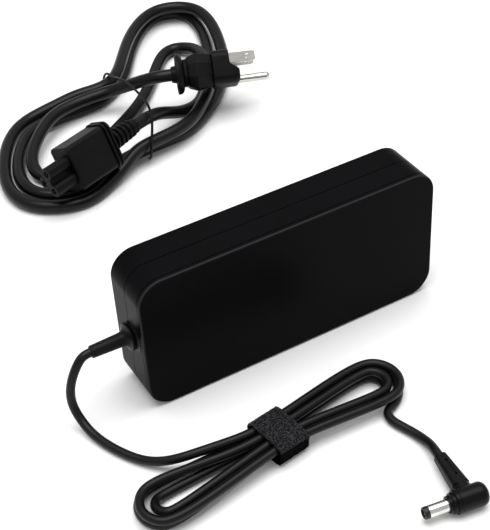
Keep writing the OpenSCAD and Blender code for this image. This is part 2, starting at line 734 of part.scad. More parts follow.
module mains_connector() {
  color("#161618") at_connector() difference() {
    union() {
      across(-conn_l / 2) linear_extrude(conn_l - 3) rounded_rect(conn_t, conn_w, 5);
      across(conn_l / 2 - 3 - eps) linear_extrude(3 + eps) rounded_rect(conn_t + 1.6, conn_w + 1.6, 5.8);
      across(-conn_l / 2 - tube_l) linear_extrude(tube_l + 1) {
        for (p = poles) translate([p.x - inlet_mid, p.y]) circle(d = tube_d);
        polygon([for (p = poles) [p.x - inlet_mid, p.y]]);
      }
    }
    for (p = poles) across(-conn_l / 2 - tube_l - 1) translate([p.x - inlet_mid, p.y, 0])
      cylinder(d = contact_d, h = tube_l);
  }
}

module connector_contacts() {
  color("#c8a44c") at_connector() for (p = poles)
    across(-conn_l / 2 - tube_l + 1) translate([p.x - inlet_mid, p.y, 0]) difference() {
      cylinder(d = contact_d, h = tube_l - 2);
      translate([0, 0, -1]) cylinder(d = pole_d + 0.2, h = tube_l);
    }
}

module connector_relief() {
  ribs = 6;
  color("#161618") at_connector() across(conn_l / 2) {
    cylinder(d = relief_core, h = relief_l);
    for (i = [0:ribs - 1]) translate([0, 0, i * 3.4])
      cylinder(d = relief_d1 + (relief_d2 - relief_d1) * i / (ribs - 1), h = 2.1);
  }
}

// ---- mains cord -----------------------------------------------------------------------------------------
m_low = mains_d / 2 - 0.6;         // strands that lie on the surface, whose lowest corners are cut flat
m_high = m_low + 7.9;              // strands that lie across them
relief_end = conn_at + (conn_l / 2 + relief_l) * conn_dir;
entry = [45.6, 196.7, 28];         // where the cord enters the mains plug
entry_turn = -22;
entry_dir = [cos(entry_turn), sin(entry_turn), 0];

// Part of an oval with blunt ends: middle, half axes, turn, and the angles from and to which it runs
function blunt(v) = sign(v) * pow(abs(v), 2 / 2.4);
function bend(mid, half, turn, from, to, steps, z0, z1, rise = [0, 1]) =
  [for (i = [0:steps])
     let (f = from + (to - from) * i / steps, x = half.x * blunt(cos(f)), y = half.y * blunt(sin(f)),
          k = min(1, max(0, (i / steps - rise[0]) / (rise[1] - rise[0]))))
     [mid.x + x * cos(turn) - y * sin(turn), mid.y + x * sin(turn) + y * cos(turn), z0 + (z1 - z0) * k]];

mains_hank = concat(
  // out of the connector and down to the surface
  [relief_end, relief_end + 8 * conn_dir, [26, 177.5, 19.5], [37, 184, 12], [48, 189, 5.8],
   [60, 193.6, m_low], [69, 203, m_low]],
  // inner right-hand loop, and back along the upper side of the waist
  bend([56, 227], [88, 26.5], 60.5, -88, 84, 12, m_low, m_low),
  [[26, 238, m_low], [14, 231, m_low], [0, 229, m_low], [-14, 229.5, m_low]],
  // middle left-hand loop, and along the lower side of the waist
  bend([-29.3, 190.5], [38.5, 26.6], 63, 34, 187, 7, m_low, m_low),
  [[-30, 156.5, m_low], [-14, 163.5, m_low], [0, 168.5, m_low], [14, 170.5, m_low], [26, 171, m_low],
   [37, 171.2, m_low], [48, 175.4, m_low], [61.5, 184.5, m_low], [75.5, 197, m_low]],
  // outer right-hand loop, which climbs onto the inner one
  bend([55.5, 218], [90, 32.5], 61, -83, 80, 12, m_low + 1, m_high, [0, 0.3]),
  [[25, 235.5, m_high], [12, 232.5, m_high], [0, 236, m_low + 6.8], [-14, 238.3, m_low + 2.8]],
  // outer left-hand loop, and across the lower side of the waist
  bend([-30.5, 191.5], [49.5, 33.5], 65, 32, 206, 8, m_low, m_low),
  [[-22, 149.5, m_low], [-10, 155.2, m_low + 2.3], [0, 160, m_low + 6.7], [8, 162.5, m_high],
   [17, 163.7, m_high], [26, 165, m_high], [35, 166.5, m_high], [46, 172, m_high], [57, 182, m_high],
   [68, 193.5, m_high]],
  // short right-hand loop inside the others
  [[76.5, 206.5, m_high], [82, 221, m_high], [85, 234, m_low + 7.3], [86.6, 245.5, m_low + 4.3],
   [85.4, 255.5, m_low + 1.3], [78.5, 261.8, m_low], [69.5, 258.5, m_low], [61, 249, m_low],
   [52, 237.5, m_low], [43, 227, m_low], [33.5, 217, m_low], [22, 207.5, m_low], [8, 198, m_low],
   [-8, 187.5, m_low]],
  // inner left-hand loop, which runs the other way and climbs
  bend([-21.2, 199.3], [35.1, 17.8], 44, -121, -281, 7, m_low, m_low + 7.6, [0.42, 1]),
  // over the waist and up into the plug
  [[-18, 223.3, m_high], [-6, 226, m_high], [6, 226, m_high + 0.5], [16, 223.5, m_high + 2],
   [24, 217, 17.5], [31, 207, 24], entry - 8 * entry_dir, entry]);
mains_rings = 96;
mains_route = route(mains_hank, mains_rings);
echo(mains_gap = least_gap(mains_route, mains_d, 35), mains_length = lengths(mains_route)[mains_rings]);

module mains_cord_hank() {
  color("#151517") tube(mains_route, conn_dir, entry_dir, mains_d, 6, [0, 0, 1], 0);
}

tie_path = [[22, 246, 1], [22, 245.5, 9], [22.5, 241.5, 15.6], [22.6, 235, 17.2], [22.6, 228, 18.6],
            [22.6, 219, 22.8], [22.6, 209, 24.8], [22, 197, 26.4], [21, 187, 27.6], [20, 179, 28.6],
            [18.9, 172.2, 28.8], [16.9, 165.4, 24.4], [13.4, 160.6, 17.6], [10.8, 157, 14.6],
            [10, 156.4, 9.4], [10.3, 158.2, 5.2], [11, 161.5, 2.6], [11.6, 164, 1.1]];

module lead_tie() {
  color("#1b1b1d") tube(route(tie_path, 28), [0, 0, 1], [0.2, 0.83, -0.5], tie_d, 8, [1, 0.2, 0]);
}

// ---- mains plug -----------------------------------------------------------------------------------------
// Its own X runs from the cord to the blades, Y through both blades, and the earth pin lies at -Z
plug_roll = -40;
neck_l = 3;
collar_d = 24;
collar_t = 4;
grip_l = 17;
block_l = 15.6;
block_step = 5.5;                  // the blades' face lies this far behind the earth pin's
grip_x = neck_l + collar_t;
block_x = grip_x + grip_l;
blade_x = block_x + block_l - block_step;
earth_x = block_x + block_l;
pins_z = earth_drop / 2 - 1;       // height of the blades above the plug's axis

module at_plug() { translate(entry) rotate([0, 0, entry_turn]) rotate([plug_roll, 0, 0]) children(); }

module mains_plug_collar() {
  color("#151517") at_plug() rotate([0, 90, 0]) {
    cylinder(d1 = mains_d + 2, d2 = mains_d + 6, h = neck_l);
    translate([0, 0, neck_l]) cylinder(d = collar_d, h = collar_t);
  }
}

module mains_plug_grip() {
  color("#151517") at_plug() {
    translate([grip_x, 0, 0]) rotate([0, 90, 0]) cylinder(d = 17, h = 3);
    translate([grip_x + 3, 0, 0]) rotate([0, 90, 0]) rotate([0, 0, 22.5])
      cylinder(d = 22, h = grip_l - 3, $fn = 8);
  }
}

// The block is cut back round the blades, down a slope to the part that carries the earth pin
module mains_plug_block() {
  color("#151517") at_plug() intersection() {
    translate([block_x, 0, 0]) rotate([90, 0, 90]) linear_extrude(block_l) rounded_rect(block_w, block_t, 5);
    translate([block_x, block_w, 0]) rotate([90, 0, 0]) linear_extrude(2 * block_w)
      polygon([[-1, -block_t], [block_l + 1, -block_t], [block_l + 1, pins_z - 7.8],
               [block_l - block_step, pins_z - blade_w / 2 - 0.4],
               [block_l - block_step, block_t], [-1, block_t]]);
  }
}

module blade(side) {
  color("#c9cbce") at_plug() translate([blade_x, side * blade_pitch / 2, pins_z]) difference() {
    union() {
      translate([0, -blade_t / 2, -blade_w / 2]) cube([blade_l - 2, blade_t, blade_w]);
      translate([blade_l - 2, -blade_t / 2, -blade_w / 2 + 1]) cube([2, blade_t, blade_w - 2]);
    }
    translate([blade_l - 4.5, -blade_t, 0]) rotate([-90, 0, 0]) cylinder(d = 3, h = 2 * blade_t);
  }
}

module line_blade() { blade(1); }

module neutral_blade() { blade(-1); }

module earth_pin() {
  color("#c9cbce") at_plug() translate([earth_x, 0, pins_z - earth_drop]) rotate([0, 90, 0]) {
    cylinder(d = earth_d, h = earth_l - earth_d / 2);
    translate([0, 0, earth_l - earth_d / 2]) sphere(d = earth_d);
  }
}

// ---- what is drawn ----------------------------------------------------------------------------------
front_shell();
back_shell();
inlet_housing();
inlet_pins();
cord_grommet();
circuit_board();
insulation_sheet();
heat_spreader();
thermal_pads();
primary_heatsink();
secondary_heatsink();
bridge_rectifier();
primary_transistors();
output_rectifiers();
bulk_capacitor();
transformer_core();
transformer_winding();
pfc_inductor_core();
pfc_inductor_winding();
line_choke_core();
line_choke_windings();
filter_capacitor();
safety_capacitors();
fuse();
thermistor();
output_capacitors();
output_inductor_core();
output_inductor_winding();
optocoupler();
control_chip();
inlet_leads();
output_leads();
dc_cord_tail();
dc_cord_hank();
dc_cord_lead();
cord_strap();
dc_plug_boot();
dc_plug_body();
dc_plug_barrel();
dc_plug_insulator();
dc_plug_contact();
mains_connector();
connector_contacts();
connector_relief();
mains_cord_hank();
lead_tie();
mains_plug_collar();
mains_plug_grip();
mains_plug_block();
line_blade();
neutral_blade();
earth_pin();
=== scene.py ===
# Laptop power adapter: a slim two-shell brick with a fixed, strapped DC cord and an angled barrel plug,
# and a separate mains lead folded round itself under a thin tie.
# All positions are in the brick's frame, in metres; sizes are typed in millimetres times MM.
import math

import bmesh
import bpy
from mathutils import Matrix, Vector


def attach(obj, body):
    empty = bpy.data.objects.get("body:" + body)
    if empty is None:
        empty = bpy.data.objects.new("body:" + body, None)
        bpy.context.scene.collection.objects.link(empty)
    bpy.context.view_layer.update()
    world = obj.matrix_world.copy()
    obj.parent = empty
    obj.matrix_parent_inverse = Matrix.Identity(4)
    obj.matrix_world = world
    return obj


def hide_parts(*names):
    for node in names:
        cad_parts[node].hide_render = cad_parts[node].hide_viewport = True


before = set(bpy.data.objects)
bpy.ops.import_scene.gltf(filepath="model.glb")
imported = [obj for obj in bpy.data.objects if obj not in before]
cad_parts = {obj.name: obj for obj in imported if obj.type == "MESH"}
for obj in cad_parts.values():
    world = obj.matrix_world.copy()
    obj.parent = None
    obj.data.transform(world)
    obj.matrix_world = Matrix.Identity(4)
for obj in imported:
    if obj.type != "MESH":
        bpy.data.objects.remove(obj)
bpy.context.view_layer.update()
MM = 0.001

# ---- Camera ------------------------------------------------------------------------------------------
# A long lens, a little above the brick and to its left, turned slightly round its own axis.
SENSOR = 36
PICTURE_WIDTH = 490
FOCAL_LENGTH = 1300  # in pixels, like the picture width
CAMERA_AT = (-0.22984, -0.40352, 0.42526)
CAMERA_RIGHT = Vector((0.86286514, -0.5027137, -0.05237055))
CAMERA_UP = Vector((0.3559853, 0.53090354, 0.76903569))
CAMERA_BACK = Vector((-0.35880107, -0.68221724, 0.63705685))
lens = bpy.data.cameras.new("camera")
lens.sensor_fit = "HORIZONTAL"
lens.sensor_width = SENSOR
lens.lens = FOCAL_LENGTH * SENSOR / PICTURE_WIDTH
camera = bpy.data.objects.new("camera", lens)
camera_turn = Matrix((CAMERA_RIGHT, CAMERA_UP, CAMERA_BACK)).transposed().to_4x4()
camera.matrix_world = Matrix.Translation(CAMERA_AT) @ camera_turn
bpy.context.scene.collection.objects.link(camera)
bpy.context.scene.camera = camera

# ---- DC cord -----------------------------------------------------------------------------------------
# A round two-core cord of soft PVC, 4.2 mm thick, moulded into the boot at the brick and into the plug.
# It runs down to the surface, folds into a flat hank of seven runs in two layers, and ends at the plug.
DC_DIAMETER = 4.2
DC_LOW = DC_DIAMETER / 2  # height of the lower layer
DC_HIGH = DC_LOW + 4.8  # height of the upper layer
STRAP_AT = (-40.5, -62.7)
STRAP_LIFT = 1.5  # both layers are lifted this much by the strap under them
RUN_HALF = 10  # half length of the straight stretch in the strap
RUN_Y = (-64.2, -61.2)  # middle of the hank at the two ends of that stretch
SPREAD = (7.1, 2.37)  # outer and inner runs, off that middle
HIGH_SHIFT = -1.2  # the upper layer has slid forward
LOOP_TIP = ((-110, -103.5), (24.3, 18.6))  # X at the left and right ends, for outer and inner loops
LOOP_Y = ((-67.5, -69.6), (-58.2, -59.6))  # middle at the left and right ends, for the two layers
LOOP_HALF = ((11.3, 6.5), (12.5, 7.6))  # half widths, in the order of the tips
GUIDE_SWELL = 1.108  # guide points lie outside the bend that they draw
HALF_TURN = (90, 45, 0, -45, -90)
DC_EXIT = (-97, 0, 35.3)
PLUG_IN = (11.4, -110.8, 5.25)
PLUG_TURN = -98.6
PLUG_DIR = (math.cos(math.radians(PLUG_TURN)), math.sin(math.radians(PLUG_TURN)), 0)


def loop_end(side, kind, level, angles, z0, z1):
    """Half loop at one end of the hank: side 0 left or 1 right, kind 0 outer or 1 inner, level 0 or 1."""
    s, width = 2 * side - 1, LOOP_HALF[side][kind]
    r = width * GUIDE_SWELL
    return [(LOOP_TIP[side][kind] - s * width + s * r * math.cos(math.radians(a)),
             LOOP_Y[side][level] + r * math.sin(math.radians(a)),
             z0 + (z1 - z0) * i / (len(angles) - 1)) for i, a in enumerate(angles)]


def strap_run(row, kind, level, heading):
    """Straight stretch through the strap: row 1 back or -1 front, heading 1 right or -1 left."""
    off = row * SPREAD[kind] + HIGH_SHIFT * level
    z = (DC_HIGH if level else DC_LOW) + STRAP_LIFT
    ends = RUN_Y if heading == 1 else RUN_Y[::-1]
    return [(STRAP_AT[0] - heading * RUN_HALF, ends[0] + off, z),
            (STRAP_AT[0] + heading * RUN_HALF, ends[1] + off, z)]


def smooth_route(guides, steps):
    """The cubic B-spline of guide points in mm; it starts and ends on the first and last of them."""
    g = [Vector(p) for p in guides]
    g = [2 * g[0] - g[1]] + g + [2 * g[-1] - g[-2]]
    spans = len(g) - 3
    points = []
    for k in range(steps + 1):
        u = spans * k / steps
        i = min(int(u), spans - 1)
        t = u - i
        points.append(((1 - t) ** 3 * g[i] + (3 * t ** 3 - 6 * t * t + 4) * g[i + 1]
                       + (-3 * t ** 3 + 3 * t * t + 3 * t + 1) * g[i + 2] + t ** 3 * g[i + 3]) / 6 * MM)
    return points


def lay_cord(name, points, diameter):
    """A round cord along a route, as one open curve with closed ends."""
    curve = bpy.data.curves.new(name, "CURVE")
    curve.dimensions = "3D"
    spline = curve.splines.new("POLY")
    spline.points.add(len(points) - 1)
    for point, place in zip(spline.points, points):
        point.co = (*place, 1)
    spline.use_smooth = True
    curve.bevel_depth = diameter * MM / 2
    curve.bevel_resolution = 6
    curve.use_fill_caps = True
    cord = bpy.data.objects.new(name, curve)
    bpy.context.scene.collection.objects.link(cord)
    return cord


# The guide points are those of the CAD: from the boot down to the surface and over to the strap, back and
# forth through it, and off to the plug, which the cord enters along the plug's own axis.
dc_guides = [DC_EXIT, (-101.1, -0.1, 35.3), (-104.7, -0.6, 31.6), (-108.2, -1, 25.4), (-110.2, -1.3, 18.5),
             (-110.5, -2.4, 11.5), (-109.4, -6.2, 6), (-107.9, -13.7, 2.4), (-104.9, -23.7, 2.1),
             (-100.7, -33, 2.1), (-94.9, -42.2, 2.2), (-87.4, -50.2, 5.4), (-77, -54.8, 8.6),
             (-65, -56.4, DC_HIGH + 1.6)]
dc_guides += strap_run(1, 0, 1, 1)
dc_guides += loop_end(1, 0, 1, HALF_TURN, DC_HIGH, DC_HIGH) + strap_run(-1, 0, 1, -1)
dc_guides += loop_end(0, 0, 1, HALF_TURN[::-1], DC_HIGH, DC_HIGH) + [(-66, -62.6, DC_HIGH + 0.9)]
dc_guides += strap_run(1, 1, 1, 1)
dc_guides += loop_end(1, 1, 1, HALF_TURN, DC_HIGH, DC_HIGH) + strap_run(-1, 1, 1, -1)
dc_guides += loop_end(0, 1, 1, HALF_TURN[::-1], DC_HIGH, DC_LOW) + strap_run(1, 1, 0, 1)
dc_guides += loop_end(1, 1, 0, HALF_TURN, DC_LOW, DC_LOW) + strap_run(-1, 1, 0, -1)
dc_guides += loop_end(0, 0, 0, HALF_TURN[::-1], DC_LOW, DC_LOW) + strap_run(1, 0, 0, 1)
dc_guides += loop_end(1, 0, 0, HALF_TURN[:3], DC_LOW, DC_LOW)
dc_guides += [(21.8, -67.4, DC_LOW), (16, -72.3, DC_LOW), (9.8, -73.6, DC_LOW), (7.8, -79.2, DC_LOW),
              (10.6, -86.4, DC_LOW), (12.9, -93.6, 2.2), (13.5, -100.6, 3.4),
              tuple(a - 4.5 * b for a, b in zip(PLUG_IN, PLUG_DIR)), PLUG_IN]
dc_route = smooth_route(dc_guides, 620)
dc_cord = lay_cord("dc_cord", dc_route, DC_DIAMETER)


def linear(hex_colour):
    """A colour typed as sRGB hex, as the linear values that a shader takes."""
    parts = [int(hex_colour[i:i + 2], 16) / 255 for i in (1, 3, 5)]
    return (*[c / 12.92 if c <= 0.04045 else ((c + 0.055) / 1.055) ** 2.4 for c in parts], 1)


def add(material, kind, settings=None, **sockets):
    """Adds a node; sockets go by name, _ for a space, or by place as _0, _1, and take values or links."""
    node = material.node_tree.nodes.new(kind)
    for key, value in (settings or {}).items():
        setattr(node, key, value)
    for key, value in sockets.items():
        socket = node.inputs[int(key[1:])] if key[0] == "_" else node.inputs[key.replace("_", " ")]
        if isinstance(value, bpy.types.NodeSocket):
            material.node_tree.links.new(value, socket)
        else:
            socket.default_value = value
    return node


def blank_material(name):
    """A material with nothing set yet, and its shader."""
    material = bpy.data.materials.new(name)
    material.use_nodes = True
    return material, material.node_tree.nodes["Principled BSDF"]


def set_shader(shader, **values):
    """Sets the shader's own sockets: numbers as they are, node outputs as links."""
    for key, value in values.items():
        socket = shader.inputs[key.replace("_", " ")]
        if isinstance(value, bpy.types.NodeSocket):
            shader.id_data.links.new(value, socket)
        else:
            socket.default_value = value


def shaded(material, fac, start, end, low, high):
    """Colour that goes from one hex value to another while a pattern goes from start to end."""
    ramp = add(material, "ShaderNodeValToRGB", Fac=fac)
    for element, place, colour in zip(ramp.color_ramp.elements, (start, end), (low, high)):
        element.position = place
        element.color = linear(colour)
    return ramp.outputs["Color"]


def mottled(material, scale, low, high):
    """Colour that varies softly between two hex values, in patches of 1/scale metres.

    Gives the colour, the pattern behind it and the place on the piece."""
    place = add(material, "ShaderNodeTexCoord").outputs["Object"]
    noise = add(material, "ShaderNodeTexNoise", Vector=place, Scale=scale, Detail=3).outputs["Fac"]
    return shaded(material, noise, 0.3, 0.7, low, high), noise, place


def between(material, fac, low, high):
    """Turns a pattern from 0 to 1 into a value from low to high."""
    return add(material, "ShaderNodeMapRange", Value=fac, To_Min=low, To_Max=high).outputs["Result"]


def bumped(material, height, depth_mm, strength):
    """Relief of a pattern, depth_mm deep."""
    bump = add(material, "ShaderNodeBump", Height=height, Distance=depth_mm * MM, Strength=strength)
    return bump.outputs["Normal"]


def dress(piece, material, slot, body, *nodes):
    """Gives a piece its material and body, and hides the CAD nodes that it stands in for; slot is not used.
    """
    piece.data.materials.clear()
    piece.data.materials.append(material)
    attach(piece, body)
    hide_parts(*nodes)


# Extruded soft PVC: black, with a dull sheen and faint waves along the cord from cooling.
cord_pvc, shader = blank_material("extruded black PVC")
tint, patches, spot = mottled(cord_pvc, 45, "#070708", "#0d0d0e")
waves = add(cord_pvc, "ShaderNodeTexNoise", Vector=spot, Scale=420, Detail=2)
set_shader(shader, Base_Color=tint, IOR=1.3, Roughness=between(cord_pvc, patches, 0.33, 0.45),
           Normal=bumped(cord_pvc, waves.outputs["Fac"], 0.05, 0.5))
dress(dc_cord, cord_pvc, "cord_jacket", "adapter", "dc_cord_tail", "dc_cord_hank", "dc_cord_lead")

# ---- Mains lead cord ---------------------------------------------------------------------------------
# A round three-core cord, 7.4 mm thick, in stiffer PVC. It leaves the connector's relief, folds into
# loops of two layers that cross at a waist, and climbs over the waist into the plug.
LEAD_DIAMETER = 7.4
LOW = LEAD_DIAMETER / 2  # height of a strand on the surface
HIGH = LOW + 7.9  # height of one that lies on another
BLUNT = 2.4  # power of the ovals; 2 would draw ellipses
CONNECTOR_AT = (-28.2, 155.4, 23)
CONNECTOR_TURN = 20
RELIEF_X = 37.5  # end of the relief, from the middle of the connector
CONNECTOR_DIR = (math.cos(math.radians(CONNECTOR_TURN)), math.sin(math.radians(CONNECTOR_TURN)), 0)
RELIEF_END = tuple(a + RELIEF_X * b for a, b in zip(CONNECTOR_AT, CONNECTOR_DIR))
LEAD_ENTRY = (45.6, 196.7, 28)
LEAD_TURN = -22
LEAD_DIR = (math.cos(math.radians(LEAD_TURN)), math.sin(math.radians(LEAD_TURN)), 0)


def blunted(v):
    """Swells a sine or cosine, which makes an oval blunt."""
    return math.copysign(abs(v) ** (2 / BLUNT), v)


def bend(middle, half, turn, first, last, steps, z0, z1, rise=(0, 1)):
    """Part of a blunt oval: its middle, half axes and turn, and the angles that it runs between. It climbs
    from z0 to z1 over the part of the way that `rise` gives."""
    points = []
    for i in range(steps + 1):
        a = math.radians(first + (last - first) * i / steps)
        x, y = half[0] * blunted(math.cos(a)), half[1] * blunted(math.sin(a))
        k = min(1, max(0, (i / steps - rise[0]) / (rise[1] - rise[0])))
        c, s = math.cos(math.radians(turn)), math.sin(math.radians(turn))
        points.append((middle[0] + x * c - y * s, middle[1] + x * s + y * c, z0 + (z1 - z0) * k))
    return points


# The CAD's guide points again: down from the relief, three times round the right and the left loop, the
# last time inside the others and climbing, and over the waist into the plug.
lead_guides = [RELIEF_END, tuple(a + 8 * b for a, b in zip(RELIEF_END, CONNECTOR_DIR)), (26, 177.5, 19.5),
               (37, 184, 12), (48, 189, 5.8), (60, 193.6, LOW), (69, 203, LOW)]
lead_guides += bend((56, 227), (88, 26.5), 60.5, -88, 84, 12, LOW, LOW)
lead_guides += [(26, 238, LOW), (14, 231, LOW), (0, 229, LOW), (-14, 229.5, LOW)]
lead_guides += bend((-29.3, 190.5), (38.5, 26.6), 63, 34, 187, 7, LOW, LOW)
lead_guides += [(-30, 156.5, LOW), (-14, 163.5, LOW), (0, 168.5, LOW), (14, 170.5, LOW), (26, 171, LOW),
                (37, 171.2, LOW), (48, 175.4, LOW), (61.5, 184.5, LOW), (75.5, 197, LOW)]
lead_guides += bend((55.5, 218), (90, 32.5), 61, -83, 80, 12, LOW + 1, HIGH, (0, 0.3))
lead_guides += [(25, 235.5, HIGH), (12, 232.5, HIGH), (0, 236, LOW + 6.9), (-14, 238.3, LOW + 2.8)]
lead_guides += bend((-30.5, 191.5), (49.5, 33.5), 65, 32, 206, 8, LOW, LOW)
lead_guides += [(-22, 149.5, LOW), (-10, 155.2, LOW + 2.3), (0, 160, LOW + 6.7), (8, 162.5, HIGH),
                (17, 163.7, HIGH), (26, 165, HIGH), (35, 166.5, HIGH), (46, 172, HIGH), (57, 182, HIGH),
                (68, 193.5, HIGH)]
lead_guides += [(76.5, 206.5, HIGH), (82, 221, HIGH), (85, 234, LOW + 7.3), (86.6, 245.5, LOW + 4.3),
                (85.4, 255.5, LOW + 1.3), (78.5, 261.8, LOW), (69.5, 258.5, LOW), (61, 249, LOW),
                (52, 237.5, LOW), (43, 227, LOW), (33.5, 217, LOW), (22, 207.5, LOW), (8, 198, LOW),
                (-8, 187.5, LOW)]
lead_guides += bend((-21.2, 199.3), (35.1, 17.8), 44, -121, -281, 7, LOW, LOW + 7.6, (0.42, 1))
lead_guides += [(-18, 223.3, HIGH), (-6, 226, HIGH), (6, 226, HIGH + 0.5), (16, 223.5, HIGH + 2),
                (24, 217, 17.5), (31, 207, 24),
                tuple(a - 8 * b for a, b in zip(LEAD_ENTRY, LEAD_DIR)), LEAD_ENTRY]
lead_route = smooth_route(lead_guides, 900)
lead_cord = lay_cord("mains_cord", lead_route, LEAD_DIAMETER)

# Mains cord PVC is a little shinier and firmer, with a slightly uneven skin over the three cores.
lead_pvc, shader = blank_material("extruded black mains PVC")
tint, patches, spot = mottled(lead_pvc, 30, "#060607", "#0c0c0d")
waves = add(lead_pvc, "ShaderNodeTexNoise", Vector=spot, Scale=260, Detail=2)
set_shader(shader, Base_Color=tint, IOR=1.3, Roughness=between(lead_pvc, patches, 0.28, 0.38),
           Normal=bumped(lead_pvc, waves.outputs["Fac"], 0.08, 0.5))
dress(lead_cord, lead_pvc, "mains_jacket", "mains_lead", "mains_cord_hank")

# ---- Case shells -------------------------------------------------------------------------------------
# Two deep trays of black ABS/PC, injection moulded and glued along the parting line in the middle of
# the thickness. The front tray has a fine groove behind its face.
CASE = (155, 28.5, 72)
CASE_CORNER = 12
EDGE = 1.1  # rounding round each large face
WALL = 2.2
GROOVE = 0.4  # width and depth of the styling groove
GROOVE_Y = 2.4  # from the front face back to the groove
SEAM = 0.2  # half the width of the parting line
EXIT_Z = DC_EXIT[2]
INLET = (17.4, 22, 0.3)  # width, height and corner of the mains inlet's opening
NECK_HOLE = (12, 8.4, 4.19)  # the same for the grommet's neck
SHOULDER = (12.4, 13.4, 5.5)  # the same for the grommet's oval shoulder, which lies in a shallow pocket
SHOULDER_Y, SHOULDER_UP = -4.2, 2
SHOULDER_ROOM = 0.2
POCKET = 0.9
CUTTER = 8  # length of the tools that cut the openings
NEAR = 0.01  # what lies within this of a plane counts as lying in it


def edit(on=True):
    """Puts the active piece in edit mode, or back in object mode."""
    bpy.ops.object.mode_set(mode="EDIT" if on else "OBJECT")


def pick(kind, test):
    """Selects in edit mode what passes the test: verts, edges or faces."""
    bpy.ops.mesh.select_mode(type={"verts": "VERT", "edges": "EDGE", "faces": "FACE"}[kind])
    bpy.ops.mesh.select_all(action="DESELECT")
    mesh = bmesh.from_edit_mesh(bpy.context.object.data)
    for item in getattr(mesh, kind):
        if test(item):
            item.select_set(True)
    mesh.select_flush_mode()
    bmesh.update_edit_mesh(bpy.context.object.data)


def focus(*pieces):
    """Selects these pieces only, and makes the first the active one."""
    bpy.ops.object.select_all(action="DESELECT")
    for piece in pieces:
        piece.select_set(True)
    bpy.context.view_layer.objects.active = pieces[0]


def split(place, normal):
    """Draws new edges where a plane through a point in mm crosses the piece."""
    bpy.ops.mesh.select_all(action="SELECT")
    bpy.ops.mesh.bisect(plane_co=[v * MM for v in place], plane_no=normal)


def round_off(radius, steps):
    """Rounds the selected edges by a radius in mm."""
    bpy.ops.mesh.bevel(offset=radius * MM, segments=steps, affect="EDGES", profile=0.5)


def named(name):
    """Names the piece that an operator has just added, and its mesh."""
    piece = bpy.context.object
    piece.name = piece.data.name = name
    return piece


def set_place(piece):
    """Puts the object's place, turn and size into its mesh."""
    focus(piece)
    bpy.ops.object.transform_apply(location=True, rotation=True, scale=True)


def modify(piece, kind, **settings):
    """Adds a modifier and applies it."""
    focus(piece)
    modifier = piece.modifiers.new(kind.lower(), kind)
    for key, value in settings.items():
        setattr(modifier, key, value)
    bpy.ops.object.modifier_apply(modifier=modifier.name)


def cut_out(piece, cutter):
    """Cuts one piece out of another and removes the cutter."""
    modify(piece, "BOOLEAN", operation="DIFFERENCE", solver="EXACT", object=cutter)
    bpy.data.objects.remove(cutter)


def smoothed(piece, degrees, weighted=True):
    """Smooth shading that leaves edges sharper than an angle crisp."""
    focus(piece)
    bpy.ops.object.shade_smooth_by_angle(angle=math.radians(degrees))
    if weighted:
        modify(piece, "WEIGHTED_NORMAL", keep_sharp=True)


def tray(name, side, wall, edge, corner):
    """Open tray: side -1 has its face to -Y, side 1 to +Y. It lies `wall` mm inside the case's outside."""
    length, height, depth = CASE[0] - 2 * wall, CASE[2] - 2 * wall, CASE[1] / 2 - wall
    bpy.ops.mesh.primitive_cube_add(size=1, location=(0, side * depth / 2 * MM, CASE[2] / 2 * MM),
                                    scale=(length * MM, depth * MM, height * MM))
    piece = named(name)
    set_place(piece)
    edit()
    pick("edges", lambda e: abs(e.verts[0].co.y - e.verts[1].co.y) > MM)
    round_off(corner, 28)
    pick("faces", lambda f: abs(f.calc_center_median().y) < NEAR * MM)
    bpy.ops.mesh.delete(type="FACE")
    pick("faces", lambda f: abs(f.calc_center_median().y) > (depth - NEAR) * MM)
    bpy.ops.mesh.region_to_loop()
    round_off(edge, 8)
    edit(False)
    return piece


def shell(name, side):
    """Tray with walls: an outer and an inner tray joined round the parting line."""
    outer = tray(name, side, 0, EDGE, CASE_CORNER)
    if side == -1:
        # styling groove round the tray, just behind its face
        edit()
        front, back = CASE[1] / 2 - GROOVE_Y, CASE[1] / 2 - GROOVE_Y - GROOVE
        for y in (front, back):
            split((0, -y, 0), (0, 1, 0))
        pick("faces", lambda f: all(back - NEAR < -v.co.y / MM < front + NEAR for v in f.verts))
        bpy.ops.mesh.extrude_region()
        bpy.ops.transform.shrink_fatten(value=-GROOVE * MM)
        edit(False)
    # the rim of each tray is stepped in, which leaves a narrow dark gap between the two
    edit()
    split((0, side * SEAM, 0), (0, 1, 0))
    pick("faces", lambda f: all(abs(v.co.y) < (SEAM + NEAR) * MM for v in f.verts))
    bpy.ops.mesh.extrude_region()
    bpy.ops.transform.shrink_fatten(value=-2 * SEAM * MM)
    pick("faces", lambda f: all(abs(v.co.y) < NEAR * MM for v in f.verts))
    bpy.ops.mesh.delete(type="FACE")
    edit(False)
    inner = tray(name + "_inside", side, WALL, 0.5, CASE_CORNER - WALL)
    edit()
    bpy.ops.mesh.select_all(action="SELECT")
    bpy.ops.mesh.flip_normals()
    edit(False)
    focus(outer, inner)
    bpy.ops.object.join()
    edit()
    pick("edges", lambda e: e.is_boundary)
    bpy.ops.mesh.bridge_edge_loops()
    bpy.ops.mesh.select_all(action="SELECT")
    bpy.ops.mesh.normals_make_consistent(inside=False)
    edit(False)
    return outer


def end_hole(opening, x, z, y=0, room=0):
    """Cutter for an opening in an end wall, with `room` added to its width and height."""
    width, height, corner = opening
    bpy.ops.mesh.primitive_cube_add(size=1, location=(x * MM, y * MM, z * MM),
                                    scale=(CUTTER * MM, (width + room) * MM, (height + room) * MM))
    cutter = named("end_hole")
    set_place(cutter)
    edit()
    pick("edges", lambda e: abs(e.verts[0].co.x - e.verts[1].co.x) > MM)
    round_off(corner, 16)
    edit(False)
    return cutter


